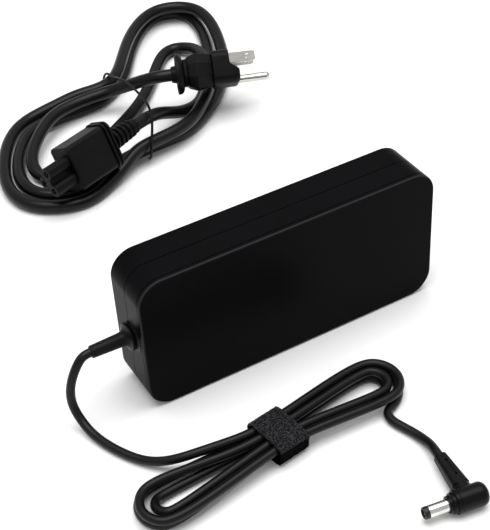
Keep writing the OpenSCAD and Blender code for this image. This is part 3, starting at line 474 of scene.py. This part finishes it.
front_shell = shell("front_case_shell", -1)
back_shell = shell("back_case_shell", 1)
for part in (front_shell, back_shell):
    cut_out(part, end_hole(NECK_HOLE, -CASE[0] / 2, EXIT_Z))
    cut_out(part, end_hole(SHOULDER, -CASE[0] / 2 - (CUTTER / 2 - POCKET), EXIT_Z + SHOULDER_UP, SHOULDER_Y,
                           SHOULDER_ROOM))
    cut_out(part, end_hole(INLET, CASE[0] / 2, CASE[2] / 2))
    smoothed(part, 30)

# Injection-moulded ABS/PC with a fine spark-eroded texture: a soft sheen with grain of about 0.25 mm,
# drawn at 0.5 mm so that it shows, slightly polished in broad patches. A paler grey is painted along the
# rounding round the front face, as a painted highlight of that rim.
case_abs, shader = blank_material("moulded black ABS")
tint, patches, spot = mottled(case_abs, 14, "#080809", "#0d0d0f")
grain = add(case_abs, "ShaderNodeTexNoise", Vector=spot, Scale=2200, Detail=2)
depth = add(case_abs, "ShaderNodeSeparateXYZ", _0=spot).outputs["Y"]
edge = add(case_abs, "ShaderNodeMapRange", Value=depth, From_Min=-CASE[1] / 2 * MM,
           From_Max=(EDGE - CASE[1] / 2) * MM)
# painted highlight: the rounding round the front face is painted paler grey, most of all 40% of the way round
line = add(case_abs, "ShaderNodeValToRGB", Fac=edge.outputs["Result"])
line.color_ramp.elements.new(0.4).color = (1, 1, 1, 1)
line.color_ramp.elements[0].color = line.color_ramp.elements[2].color = (0, 0, 0, 1)
tint = add(case_abs, "ShaderNodeMixRGB", Fac=line.outputs["Color"], Color1=tint, Color2=linear("#303033"))
set_shader(shader, Base_Color=tint.outputs["Color"], IOR=1.085,
           Roughness=between(case_abs, patches, 0.28, 0.36),
           Normal=bumped(case_abs, grain.outputs["Fac"], 0.02, 0.35))
dress(front_shell, case_abs, "case_plastic", "adapter", "front_shell")
dress(back_shell, case_abs, "case_plastic", "adapter", "back_shell")

# ---- DC cord grommet and boot -------------------------------------------------------------------------
# One overmoulding of soft black PVC on the cord: a flange inside the wall, an oval neck that fills the
# opening between the shells, a shoulder and a thin disc outside it, and a tapered boot down to the cord.


def frame_at(at, turn=0, roll=0):
    """A frame at a point in mm, turned round Z and then rolled round its own X, in degrees."""
    return (Matrix.Translation(Vector(at) * MM) @ Matrix.Rotation(math.radians(turn), 4, "Z")
            @ Matrix.Rotation(math.radians(roll), 4, "X"))


def put(piece, place):
    """Moves a piece from its own frame to its place."""
    piece.matrix_world = place
    set_place(piece)
    return piece


def turned(name, stations, sides=48):
    """Turned piece on its own X: a disc drawn out through (x, radius) stations in mm."""
    bpy.ops.mesh.primitive_circle_add(vertices=sides, radius=stations[0][1] * MM, fill_type="NGON",
                                      location=(stations[0][0] * MM, 0, 0), rotation=(0, math.pi / 2, 0))
    piece = named(name)
    set_place(piece)
    edit()
    bpy.ops.mesh.select_all(action="SELECT")
    for (x0, r0), (x1, r1) in zip(stations, stations[1:]):
        bpy.ops.mesh.extrude_region()
        bpy.ops.transform.translate(value=((x1 - x0) * MM, 0, 0))
        bpy.ops.transform.resize(value=(1, r1 / r0, r1 / r0), center_override=(x1 * MM, 0, 0))
    bpy.ops.mesh.select_all(action="SELECT")
    bpy.ops.mesh.normals_make_consistent(inside=False)
    edit(False)
    return piece


def bar(name, x0, x1, width, height, corner, end=0, both=True, y=0, z=0):
    """Bar along its own X with rounded long edges; `end` rounds the edges of both ends, or the far one."""
    bpy.ops.mesh.primitive_cube_add(size=1, location=((x0 + x1) / 2 * MM, y * MM, z * MM),
                                    scale=((x1 - x0) * MM, width * MM, height * MM))
    piece = named(name)
    set_place(piece)
    edit()
    if corner:
        pick("edges", lambda e: abs(e.verts[0].co.x - e.verts[1].co.x) > 0.5 * (x1 - x0) * MM)
        round_off(corner, 10)
    rounded = (x0, x1) if both else (x1,)
    for face_x in rounded if end else ():
        pick("faces", lambda f: abs(f.calc_center_median().x - face_x * MM) < NEAR * MM)
        bpy.ops.mesh.region_to_loop()
        round_off(end, 5)
    edit(False)
    return piece


def union(piece, *others):
    """Melts the others into a piece, as one moulding."""
    for other in others:
        modify(piece, "BOOLEAN", operation="UNION", solver="EXACT", object=other)
        bpy.data.objects.remove(other)
    return piece


boot = turned("dc_cord_boot", [(-97, 2.3), (-97, 2.8), (-96.85, 2.95), (-88, 3.2), (-83, 3.32), (-81.6, 3.5),
                               (-80.5, 4.1), (-79.9, 5.0), (-79.6, 5.9), (-79.5, 6.4), (-79.35, 6.7),
                               (-79.1, 6.8), (-78.5, 6.8), (-78.2, 6.7), (-78.1, 6.4), (-78.1, 3.5),
                               (-77.5, 3.2)])
neck = bar("neck", -78.2, -74.5, 11.7, 8.1, 4.04)
shoulder = bar("shoulder", -77.7, -76.7, *SHOULDER, 0.2, False, SHOULDER_Y, SHOULDER_UP)
flange = bar("flange", -75.15, -73.15, 12.6, 10.4, 4.6, 0.3)
boot = put(union(boot, neck, shoulder, flange), frame_at((0, 0, EXIT_Z)))
smoothed(boot, 32)

# Soft PVC moulding: satin black with a fine dry grain, a little greyer where it was trimmed and handled.
boot_pvc, shader = blank_material("moulded soft black PVC")
tint, patches, spot = mottled(boot_pvc, 160, "#070708", "#0e0e10")
grain = add(boot_pvc, "ShaderNodeTexNoise", Vector=spot, Scale=1600, Detail=2)
set_shader(shader, Base_Color=tint, IOR=1.22, Roughness=between(boot_pvc, patches, 0.36, 0.5),
           Normal=bumped(boot_pvc, grain.outputs["Fac"], 0.03, 0.4))
dress(boot, boot_pvc, "boot_rubber", "adapter", "cord_grommet")

# ---- Mains inlet --------------------------------------------------------------------------------------
# Glass-filled moulding snapped between the shells, with a clover-shaped recess, and its three turned
# pins of nickel-plated brass, which run back to the board.


def coat(material, *nodes):
    """Gives CAD nodes a material in place of their plain ones."""
    for node in nodes:
        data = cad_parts[node].data
        data.materials.clear()
        data.materials.append(material)


def simple(name, low, high, scale, roughness, metallic=0.0, grain=900, relief=0.02, ior=1.45):
    """Material with soft patches of colour and sheen and a fine grain; scale and grain are per metre."""
    material, shader = blank_material(name)
    tint, patches, spot = mottled(material, scale, low, high)
    texture = add(material, "ShaderNodeTexNoise", Vector=spot, Scale=grain, Detail=2)
    set_shader(shader, Base_Color=tint, Metallic=metallic, IOR=ior,
               Roughness=between(material, patches, *roughness),
               Normal=bumped(material, texture.outputs["Fac"], relief, 0.5))
    return material


# Glass-filled PBT: black, slightly greyer than the case, with the dry look of fibres at the skin.
coat(simple("moulded glass-filled PBT", "#0b0b0d", "#151518", 250, (0.45, 0.6), grain=1800), "inlet_housing")
# Bright nickel over turned brass: mirror-like with fine tool marks.
bright_nickel = simple("bright nickel plated brass", "#c4c2bc", "#d6d4cf", 120, (0.16, 0.26), 1.0, 2500,
                       0.008)
coat(bright_nickel, "inlet_pins")

# ---- Circuit board and its parts ----------------------------------------------------------------------
# A single-sided board of epoxy glass on four posts, with the power parts stood on it, two aluminium
# heatsinks, an amber insulating sheet behind it and a thin aluminium heat spreader in front.
INSIDE = [  # the arguments of simple(), then the nodes that take the material
    # green solder mask over glass epoxy: glossy, with the weave faintly showing
    ("solder masked FR4 laminate", "#0d3a1c", "#154a26", 90, (0.25, 0.4), 0.0, 1400, 0.02,
     ("circuit_board",)),
    # cut polyester film: amber, smooth and shiny
    ("amber polyester film", "#8a5a10", "#a06c18", 60, (0.15, 0.25), 0.0, 300, 0.01, ("insulation_sheet",)),
    # rolled aluminium, mill finish: bright grey with soft streaks
    ("mill finish aluminium sheet", "#b4b6b9", "#cacccf", 140, (0.3, 0.42), 1.0, 2200, 0.01,
     ("heat_spreader", "primary_heatsink", "secondary_heatsink")),
    # filled silicone pads: pale blue-grey and quite matt
    ("filled silicone pad", "#6d7f92", "#7f91a3", 200, (0.6, 0.75), 0.0, 1500, 0.04, ("thermal_pads",)),
    # moulded epoxy packages: black, fine matt grain from the mould
    ("transfer moulded epoxy", "#0f0f10", "#1a1a1c", 300, (0.5, 0.65), 0.0, 2600, 0.02,
     ("bridge_rectifier", "primary_transistors", "output_rectifiers", "optocoupler", "control_chip")),
    # heat-shrunk PVC sleeves on the cans: dark blue and glossy
    ("shrunk dark blue PVC sleeve", "#0f1c3c", "#172a54", 120, (0.2, 0.32), 0.0, 700, 0.02,
     ("bulk_capacitor", "output_capacitors")),
    # sintered ferrite: dark grey, slightly rough like fine cast iron
    ("sintered ferrite", "#1b1a19", "#2b2927", 260, (0.5, 0.7), 0.0, 2400, 0.05,
     ("transformer_core", "pfc_inductor_core", "line_choke_core")),
    # epoxy-coated iron powder core: yellow, smooth
    ("epoxy coated powder core", "#a8902a", "#bfa53a", 180, (0.35, 0.5), 0.0, 1500, 0.03,
     ("output_inductor_core",)),
    # polyester winding tape: yellow, glossy, with the edges of its turns
    ("polyester winding tape", "#b08c24", "#c7a436", 150, (0.25, 0.4), 0.0, 800, 0.04,
     ("transformer_winding", "filter_capacitor")),
    # enamelled copper wire: reddish brown and shiny
    ("enamelled copper wire", "#7a3214", "#95431f", 500, (0.2, 0.35), 0.6, 2600, 0.08,
     ("pfc_inductor_winding", "line_choke_windings", "output_inductor_winding")),
    # dipped ceramic discs: blue enamel-like coat
    ("dipped blue epoxy coat", "#12407c", "#1b5296", 240, (0.25, 0.4), 0.0, 900, 0.05,
     ("safety_capacitors",)),
    # fired ceramic tube: off-white and smooth
    ("glazed ceramic tube", "#c9c8c0", "#d8d7d0", 200, (0.2, 0.3), 0.0, 700, 0.01, ("fuse",)),
    # dipped thermistor: dark green coat
    ("dipped dark green coat", "#123318", "#1c4422", 260, (0.3, 0.45), 0.0, 900, 0.05, ("thermistor",)),
    # extruded PVC wire insulation: red, with a soft shine
    ("extruded red PVC insulation", "#8c1a12", "#a32418", 220, (0.3, 0.42), 0.0, 1100, 0.02,
     ("inlet_leads", "output_leads")),
]
for *finish, nodes in INSIDE:
    coat(simple(*finish), *nodes)

# ---- Strap --------------------------------------------------------------------------------------------
# A 16 mm wide hook-and-loop strap wrapped once and a bit round the folded cord: a woven nylon band whose
# outside is covered with small loops, stuck down on its own end on top.
STRAP_TURN = math.degrees(math.atan2(RUN_Y[1] - RUN_Y[0], 2 * RUN_HALF))
STRAP_WIDTH = 16
STRAP_HALF = SPREAD[0] + 1.1  # from its middle to the middle of the outermost strand
STRAP_ROOM = 0.25  # between the strands and the band
STRAP_THICK = 1.3
OUTER_CORNER, INNER_CORNER = 3.5, 2.2
GRID = 0.42  # mesh size of the band, fine enough to carry its pile
LOOP_SIZE, LOOP_HEIGHT = 1.0, 0.5
# heights in mm where the painted shade of the sides ends and the painted light of the top begins
PAINTED_SHADE_BELOW, PAINTED_LIGHT_ABOVE = 8.8, 9.6


def band(name, grow, width, corner):
    """Closed bar with the outline of the tied strands, grown by `grow` mm, along its own X."""
    reach = DC_DIAMETER / 2 + grow
    low, high = max(DC_LOW + STRAP_LIFT - reach, 0.0), DC_HIGH + STRAP_LIFT + reach
    bpy.ops.mesh.primitive_cube_add(size=1, location=(0, 0, (low + high) / 2 * MM),
                                    scale=(width * MM, 2 * (STRAP_HALF + reach) * MM, (high - low) * MM))
    piece = named(name)
    set_place(piece)
    edit()
    pick("verts", lambda v: v.co.z > (low + high) / 2 * MM)
    bpy.ops.transform.translate(value=(0, HIGH_SHIFT * MM, 0))
    pick("edges", lambda e: abs(e.verts[0].co.x - e.verts[1].co.x) > 0.5 * width * MM)
    round_off(corner, 12)
    edit(False)
    return piece


strap = band("cord_strap_band", STRAP_ROOM + STRAP_THICK, STRAP_WIDTH, OUTER_CORNER)
cut_out(strap, band("strap_inside", STRAP_ROOM, STRAP_WIDTH + 4, INNER_CORNER))
modify(strap, "REMESH", mode="VOXEL", voxel_size=GRID * MM)
pile = bpy.data.textures.new("pile", "VORONOI")
pile.noise_scale = LOOP_SIZE * MM
pile.distance_metric = "DISTANCE"
modify(strap, "DISPLACE", texture=pile, texture_coords="LOCAL", strength=LOOP_HEIGHT * MM, mid_level=0.75)
put(strap, frame_at((*STRAP_AT, 0), STRAP_TURN))
smoothed(strap, 60, weighted=False)

# Nylon loops over a black weave: painted shade in the gaps between the loops, and painted highlights on their
# paler grey tips.
loop_nylon, shader = blank_material("nylon loop pile with painted light")
place = add(loop_nylon, "ShaderNodeTexCoord").outputs["Object"]
loops = add(loop_nylon, "ShaderNodeTexVoronoi", {"feature": "SMOOTH_F1"}, Vector=place, Scale=1500,
            Smoothness=0.4)
fuzz = add(loop_nylon, "ShaderNodeTexNoise", Vector=place, Scale=2600, Detail=3)
tips = add(loop_nylon, "ShaderNodeMath", {"operation": "MULTIPLY_ADD"}, _0=loops.outputs["Distance"], _1=0.75,
           _2=fuzz.outputs["Fac"])
# painted shade and highlight: dark between the loops, paler grey on their tips
tint = shaded(loop_nylon, tips.outputs["Value"], 0.86, 1.1, "#020203", "#323235")
# Painted light: the top is painted paler, and further down the band is painted darker as shade on its sides,
# with less sheen and specular there.
height = add(loop_nylon, "ShaderNodeSeparateXYZ", _0=place).outputs["Z"]
painted_top_light = add(loop_nylon, "ShaderNodeMapRange", Value=height, From_Min=PAINTED_SHADE_BELOW * MM,
              From_Max=PAINTED_LIGHT_ABOVE * MM).outputs["Result"]
tint = add(loop_nylon, "ShaderNodeMixRGB", Fac=painted_top_light, Color1=linear("#030304"), Color2=tint)
set_shader(shader, Base_Color=tint.outputs["Color"], Roughness=0.85, IOR=1.2, Sheen_Roughness=0.5,
           Sheen_Weight=between(loop_nylon, painted_top_light, 0, 0.05),
           Specular_IOR_Level=between(loop_nylon, painted_top_light, 0.15, 0.5),
           Normal=bumped(loop_nylon, tips.outputs["Value"], 0.35, 0.8))
dress(strap, loop_nylon, "strap_fabric", "adapter", "cord_strap")

# ---- DC plug ------------------------------------------------------------------------------------------
# An angled barrel plug: a flat-sided soft boot on the cord, a hard turned-looking body moulded over it,
# and a nickel-plated barrel with a black insulator and a sprung centre contact.
BOOT_LENGTH = 18.2
BOOT_WIDE, BOOT_NARROW = (7.9, 7.5), (5.5, 5.4)  # width and height at the body and at the cord
BODY_RADIUS = 5.25
BODY_LENGTH = 15
BODY_PAST = 8.4  # how far the closed end lies past the middle of the boot
BODY_ROUND = 3.2  # rounding of that end
BOOT_GAP = 1.2  # between the boot and the body, filled by the body's neck
COLLAR = 3.2
BARREL_LENGTH = 11
BARREL_TURN = -8.9
TIP = 2.3  # length of the black nose
SLOT_AT, SLOT_SLOPE = 2.7, -0.0577  # height and slope of the boot's top at the slot
plug_mid = Vector(PLUG_IN) + (BOOT_LENGTH + BOOT_GAP + BODY_RADIUS) * Vector(PLUG_DIR)
along_boot = frame_at(PLUG_IN, PLUG_TURN)
along_plug = frame_at(plug_mid, BARREL_TURN) @ Matrix.Translation(((BODY_PAST - BODY_LENGTH) * MM, 0, 0))
along_barrel = along_plug @ Matrix.Translation((-(COLLAR + BARREL_LENGTH) * MM, 0, 0))


def dome(x, radius, reach, step, count):
    """Stations of a turned piece's rounded end, which curves in by `reach` from x on."""
    angles = [math.radians(step * i) for i in range(1, count + 1)]
    return [(x + reach * math.sin(a), radius - reach + reach * math.cos(a)) for a in angles]


plug_boot = bar("dc_plug_boot_moulding", 0, BOOT_LENGTH, *BOOT_WIDE, 2.4)
edit()
pick("verts", lambda v: v.co.x < 0.1 * MM)
bpy.ops.transform.resize(value=(1, BOOT_NARROW[0] / BOOT_WIDE[0], BOOT_NARROW[1] / BOOT_WIDE[1]),
                         center_override=(0, 0, 0))
pick("faces", lambda f: abs(f.calc_center_median().x) < NEAR * MM)
bpy.ops.mesh.region_to_loop()
round_off(0.4, 3)
edit(False)
collar = turned("collar", [(0, 2.2), (0, 2.75), (0.15, 2.9), (1.5, 2.9), (1.65, 2.75), (1.65, 2.0)])
plug_boot = union(plug_boot, collar)
# one fine slot along the top with a deeper pit at each end
for x0, x1, width, depth in ((4.6, 13.4, 0.5, 0.45), (4.1, 5.3, 1.0, 1.2), (12.8, 14.0, 1.0, 1.2)):
    slot_cutter = bar("flex_slot", x0, x1, width, 2 * depth, 0.15, y=0.3)
    put(slot_cutter, Matrix.Translation((0, 0, SLOT_AT * MM)) @ Matrix.Rotation(SLOT_SLOPE, 4, "Y"))
    cut_out(plug_boot, slot_cutter)
put(plug_boot, along_boot)
smoothed(plug_boot, 32)
dress(plug_boot, boot_pvc, "boot_rubber", "adapter", "dc_plug_boot")

body = turned("dc_plug_moulding",
              [(-COLLAR, 2.6), (-COLLAR, 3.45), (-2.95, 3.75), (-1.7, 3.75), (-1.6, 4.1), (-1.35, 4.5),
               (-0.05, 4.5), (0, 4.95), (0.3, BODY_RADIUS), (1.5, BODY_RADIUS), (1.65, 5.1), (1.85, 5.1),
               (2.0, BODY_RADIUS), (BODY_LENGTH - BODY_ROUND, BODY_RADIUS)]
              + dome(BODY_LENGTH - BODY_ROUND, BODY_RADIUS, BODY_ROUND, 10, 8)
              + [(BODY_LENGTH, BODY_RADIUS - BODY_ROUND)], 64)
neck = turned("neck", [(BOOT_LENGTH, 2.5), (BOOT_LENGTH, 3.85), (BOOT_LENGTH + 0.2, 4.05),
                       (BOOT_LENGTH + 5, 4.05), (BOOT_LENGTH + 5, 2.5)])
put(body, along_plug)
put(neck, along_boot)
union(body, neck)
smoothed(body, 32)

# Hard PVC moulding: black and smooth, shinier than the boot, with a very fine grain.
hard_pvc = simple("moulded satin black PVC", "#060607", "#0b0b0c", 90, (0.25, 0.36), grain=1500, ior=1.22)
dress(body, hard_pvc, "plug_plastic", "adapter", "dc_plug_body")

# the barrel is a tube with a fine ring groove, and the insulator's black nose stands out of it
barrel = turned("dc_barrel_tube", [(BARREL_LENGTH - 0.1, 2.35), (TIP + 0.3, 2.35), (TIP, 2.45), (TIP, 2.65),
                                   (TIP + 0.1, 2.75), (5.2, 2.75), (5.3, 2.7), (5.5, 2.7), (5.6, 2.75),
                                   (BARREL_LENGTH, 2.75)], 64)
put(barrel, along_barrel)
smoothed(barrel, 30)

# Drawn brass tube, bright nickel plated and slightly brushed round by its sockets.
barrel_nickel = simple("bright nickel plated brass tube", "#d2d1ce", "#e4e3e1", 300, (0.12, 0.2), 1.0, 2200,
                       0.006)
dress(barrel, barrel_nickel, "barrel_nickel", "adapter", "dc_plug_barrel")

insulator = turned("dc_barrel_insulator",
                   [(BARREL_LENGTH - 0.5, 1.62), (0.7, 1.62), (0.1, 1.75), (0, 1.85), (0, 2.25), (0.12, 2.5),
                    (0.4, 2.66), (TIP - 0.2, 2.7), (TIP - 0.05, 2.6), (TIP, 2.33),
                    (BARREL_LENGTH - 0.4, 2.33)])
put(insulator, along_barrel)
smoothed(insulator, 30)
# Moulded nylon, dead black in the bore.
black_nylon = simple("moulded black nylon", "#070708", "#0d0d0e", 300, (0.4, 0.5))
dress(insulator, black_nylon, "insulator_plastic", "adapter", "dc_plug_insulator")

contact = turned("dc_centre_contact", [(BARREL_LENGTH - 1, 1.25), (0.3, 1.25), (0, 1.35), (0, 1.5),
                                       (0.2, 1.6), (BARREL_LENGTH - 0.8, 1.6)], 32)
put(contact, along_barrel @ Matrix.Translation((0.8 * MM, 0, 0)))
smoothed(contact, 30)
# Phosphor bronze spring, plated pale gold.
gold_bronze = simple("gold flashed phosphor bronze", "#b08a3c", "#c49c4a", 300, (0.2, 0.3), 1.0, 2400, 0.01)
dress(contact, gold_bronze, "contact_brass", "adapter", "dc_plug_contact")

# ---- Mains connector ----------------------------------------------------------------------------------
# Three-pole clover-leaf connector moulded onto the lead: a flat-topped body with two flange plates at the
# back, three tubes in front that hold the contacts, and a ribbed relief that tapers onto the cord.
connector_place = frame_at(CONNECTOR_AT, CONNECTOR_TURN, 65)
BACK = 15.5  # half the length of the body
TUBE = 15
NOSE = -BACK - TUBE  # where the tubes end
POLES = ((5, 2.7), (-5, 2.7), (0, -2.7))  # the outer two are 10 mm apart
RIBS, RIB_STEP = 6, 3.4
connector = bar("mains_connector_moulding", -BACK, BACK - 4.4, 25.4, 16.5, 2.6, 0.9)
waist = bar("waist", BACK - 5, BACK, 23, 14, 3.4)
plates = [bar("plate", x, x + 1.5, 27, 18.1, 4.4, 0.35) for x in (BACK - 3.9, BACK - 1.5)]
tubes = []
for y, z in POLES:
    tube = turned("tube", [(NOSE, 3.2), (NOSE + 0.4, 3.6), (-BACK + 1, 3.6), (-BACK + 1, 3.2)], 40)
    tubes.append(put(tube, Matrix.Translation((0, y * MM, z * MM))))
web = bar("web", NOSE, -BACK + 1, 8.4, 3.6, 0.4, z=1.4)
stem = bar("stem", NOSE, -BACK + 1, 3.6, 5.2, 0.4)
union(connector, waist, *plates, web, stem, *tubes)
for y, z in POLES:
    hole = turned("hole", [(NOSE - 1, 2.1), (NOSE, 2.0), (NOSE + 0.5, 1.6), (-BACK - 1, 1.6)], 32)
    cut_out(connector, put(hole, Matrix.Translation((0, y * MM, z * MM))))
put(connector, connector_place)
smoothed(connector, 32)

# Moulded mains PVC: black with a fine matt grain, polished a little where it has been held.
mains_pvc = simple("moulded black mains PVC", "#060607", "#0c0c0d", 110, (0.36, 0.52), grain=1300,
                   relief=0.04, ior=1.2)
dress(connector, mains_pvc, "mains_moulding", "mains_lead", "mains_connector")

# sprung sleeves, 1 mm inside the mouths of the tubes
sleeves = []
for y, z in POLES:
    sleeve = turned("contact_sleeve", [(12, 1.3), (0.3, 1.3), (0, 1.4), (0, 1.5), (0.15, 1.58),
                                       (12.8, 1.58)], 24)
    sleeves.append(put(sleeve, Matrix.Translation(((NOSE + 1) * MM, y * MM, z * MM))))
focus(*sleeves)
bpy.ops.object.join()
contacts = named("mains_connector_sleeves")
put(contacts, connector_place)
smoothed(contacts, 30)
dress(contacts, gold_bronze, "contact_brass", "mains_lead", "connector_contacts")

# ribs that get smaller towards the cord, with valleys down to the relief's core
profile = [(BACK, 3.5), (BACK, 6.0)]
for rib in range(RIBS):
    x, r = BACK + RIB_STEP * rib, 6.3 - 0.26 * rib
    if rib:
        profile += [(x - 0.1, 4.3), (x, r - 0.35)]
    profile += [(x + 0.25, r), (x + 1.5, r), (x + 2, r - 0.4), (x + 2.1, 4.3)]
profile += [(RELIEF_X - 0.4, 4.3), (RELIEF_X, 4.0)]
relief = turned("mains_relief_ribs", profile)
put(relief, connector_place)
smoothed(relief, 32)
dress(relief, mains_pvc, "mains_moulding", "mains_lead", "connector_relief")

# ---- Tie ----------------------------------------------------------------------------------------------
# A thin plastic-coated wire bent as an arch over the waist of the folded lead. Both ends reach down to
# the surface; the front one is tucked in under the upper strand.
TIE_DIAMETER = 1.5
TIE_PATH = [(22, 246, 1), (22, 245.5, 9), (22.5, 241.5, 15.6), (22.6, 235, 17.2), (22.6, 228, 18.6),
            (22.6, 219, 22.8), (22.6, 209, 24.8), (22, 197, 26.4), (21, 187, 27.6), (20, 179, 28.6),
            (18.9, 172.2, 28.8), (16.9, 165.4, 24.4), (13.4, 160.6, 17.6), (10.8, 157, 14.6),
            (10, 156.4, 9.4), (10.3, 158.2, 5.2), (11, 161.5, 2.6), (11.6, 164, 1.1)]
tie = lay_cord("lead_tie_wire", smooth_route(TIE_PATH, 120), TIE_DIAMETER)
focus(tie)
bpy.ops.object.convert(target="MESH")
tie = named("lead_tie_wire")
smoothed(tie, 40, weighted=False)
# Extruded vinyl coat on wire: black and glossy.
vinyl = simple("extruded black vinyl coat", "#060607", "#0b0b0c", 300, (0.3, 0.4), ior=1.2)
dress(tie, vinyl, "tie_plastic", "mains_lead", "lead_tie")

# ---- Mains plug ---------------------------------------------------------------------------------------
# Three-pin straight plug in one black PVC moulding: a cupped collar round the cord, a faceted grip, and a
# front block stepped back at the flat blades; the blades and the round earth pin are solid plated brass.
plug_place = frame_at(LEAD_ENTRY, LEAD_TURN, -40)
GRIP_X, BLOCK_X, FRONT_X = 7, 24, 39.6  # where the parts start along the plug, and its front
BLOCK = (24, 20)  # width and height
STEP = 5.5  # how far the block is cut back round the blades
BLADE_X = FRONT_X - STEP
BLADE = (15.5, 1.5, 6.35)  # length, thickness and width
BLADE_SIDE = 12.7 / 2  # half the pitch of the blades
BLADE_Z = 4.95
BLADE_HOLE = 11  # from the block to the hole near the tip
PIN_RADIUS, PIN_LENGTH = 2.4, 18
PIN_DROP = 11.9  # from the blades down to the earth pin
plug_collar = turned("mains_plug_cup", [(0, 3.9), (0, 4.4), (0.3, 4.7), (3.2, 5.3), (3.9, 6.4), (3.9, 9.6),
                                        (3.3, 10.9), (3.1, 11.6), (3.4, 11.95), (4.0, 12), (5.2, 11.8),
                                        (6.4, 10.8), (GRIP_X, 9.4)], 64)
put(plug_collar, plug_place)
smoothed(plug_collar, 32)
dress(plug_collar, mains_pvc, "mains_moulding", "mains_lead", "mains_plug_collar")

grip = turned("mains_plug_facets", [(GRIP_X, 7.6), (GRIP_X, 8.2), (GRIP_X + 0.8, 8.5), (GRIP_X + 2.2, 8.5),
                                    (GRIP_X + 3, 9.6), (GRIP_X + 7.6, 11.4), (GRIP_X + 8.4, 11.4),
                                    (GRIP_X + 17, 9.9)], 8)
# half a facet of turn puts flat sides at the top and bottom
edit()
bpy.ops.mesh.select_all(action="SELECT")
bpy.ops.transform.rotate(value=math.radians(22.5), orient_axis="X", center_override=(0, 0, 0))
edit(False)
modify(grip, "BEVEL", width=0.45 * MM, segments=3, limit_method="ANGLE", angle_limit=math.radians(20))
put(grip, plug_place)
smoothed(grip, 32)
dress(grip, mains_pvc, "mains_moulding", "mains_lead", "mains_plug_grip")

block = bar("mains_plug_front", BLOCK_X, FRONT_X, *BLOCK, 4.6, 2.6, False)
# cut back round the blades, with a hollow corner and a slope down to the part that carries the earth pin
step_cutter = bar("step", BLADE_X, FRONT_X + 4, 30, 12, 0, z=7.35)
edit()
pick("verts", lambda v: v.co.x > FRONT_X * MM and v.co.z < 2 * MM)
bpy.ops.transform.translate(value=(0, 0, -6.1 * MM))
pick("edges", lambda e: all(v.co.x < (BLADE_X + 0.1) * MM and v.co.z < 2 * MM for v in e.verts))
round_off(1.6, 6)
edit(False)
cut_out(block, step_cutter)
modify(block, "BEVEL", width=0.7 * MM, segments=4, limit_method="ANGLE", angle_limit=math.radians(50))
put(block, plug_place)
smoothed(block, 32)
dress(block, mains_pvc, "mains_moulding", "mains_lead", "mains_plug_block")

# strips of brass that narrow to 55% and 72% over the last 1.5 mm, with a 3 mm hole
for name, side in (("line", 1), ("neutral", -1)):
    y, tip_x = side * BLADE_SIDE, BLADE_X + BLADE[0]
    blade = bar(name + "_blade_strip", BLADE_X - 1, tip_x, BLADE[1], BLADE[2], 0.25, y=y, z=BLADE_Z)
    edit()
    split((tip_x - 1.5, 0, 0), (1, 0, 0))
    pick("verts", lambda v: v.co.x > (tip_x - 0.5) * MM)
    bpy.ops.transform.resize(value=(1, 0.55, 0.72), center_override=(0, y * MM, BLADE_Z * MM))
    edit(False)
    bpy.ops.mesh.primitive_cylinder_add(vertices=32, radius=1.5 * MM, depth=4 * MM,
                                        rotation=(math.pi / 2, 0, 0),
                                        location=((BLADE_X + BLADE_HOLE) * MM, y * MM, BLADE_Z * MM))
    cut_out(blade, named("blade_hole"))
    put(blade, plug_place)
    smoothed(blade, 30)
    dress(blade, bright_nickel, "pin_metal", "mains_lead", name + "_blade")
dome_x = FRONT_X + PIN_LENGTH - PIN_RADIUS
pin = turned("earth_pin_rod", [(FRONT_X - 1, 2.0), (FRONT_X - 0.9, PIN_RADIUS), (dome_x, PIN_RADIUS)]
             + dome(dome_x, PIN_RADIUS, PIN_RADIUS, 12, 7), 40)
put(pin, plug_place @ Matrix.Translation((0, 0, (BLADE_Z - PIN_DROP) * MM)))
smoothed(pin, 30)
dress(pin, bright_nickel, "pin_metal", "mains_lead", "earth_pin")

# ---- Floor and light ---------------------------------------------------------------------------------
# White paper that reaches past the picture, an even white sky and one wide softbox overhead.
FLOOR_SIZE = 6
FLOOR_Z = -0.0004
SKY_STRENGTH = 0.6
LIGHT_AT, LIGHT_AIM = Vector((0, 0, 1.5)), Vector((0, 0.05, 0))
LIGHT_SIZE = (1.5, 1.2)
LIGHT_WATTS = 24
bpy.ops.mesh.primitive_plane_add(size=FLOOR_SIZE, location=(0, 0, FLOOR_Z))
floor = named("floor")
set_place(floor)
paper, shader = blank_material("white studio paper")
tint = mottled(paper, 3, "#f4f4f4", "#f8f8f8")[0]
set_shader(shader, Base_Color=tint, Roughness=0.9, IOR=1.3)
floor.data.materials.append(paper)

world = bpy.data.worlds.new("studio")
bpy.context.scene.world = world
world.use_nodes = True
sky = world.node_tree.nodes["Background"]
sky.inputs["Color"].default_value = (1, 1, 1, 1)
sky.inputs["Strength"].default_value = SKY_STRENGTH
bpy.context.scene.view_settings.view_transform = "Standard"

light = bpy.data.lights.new("overhead", "AREA")
light.shape = "RECTANGLE"
light.size, light.size_y = LIGHT_SIZE
light.energy = LIGHT_WATTS
softbox = bpy.data.objects.new("overhead", light)
softbox.location = LIGHT_AT
softbox.rotation_euler = (LIGHT_AIM - LIGHT_AT).to_track_quat("-Z", "Y").to_euler()
bpy.context.scene.collection.objects.link(softbox)
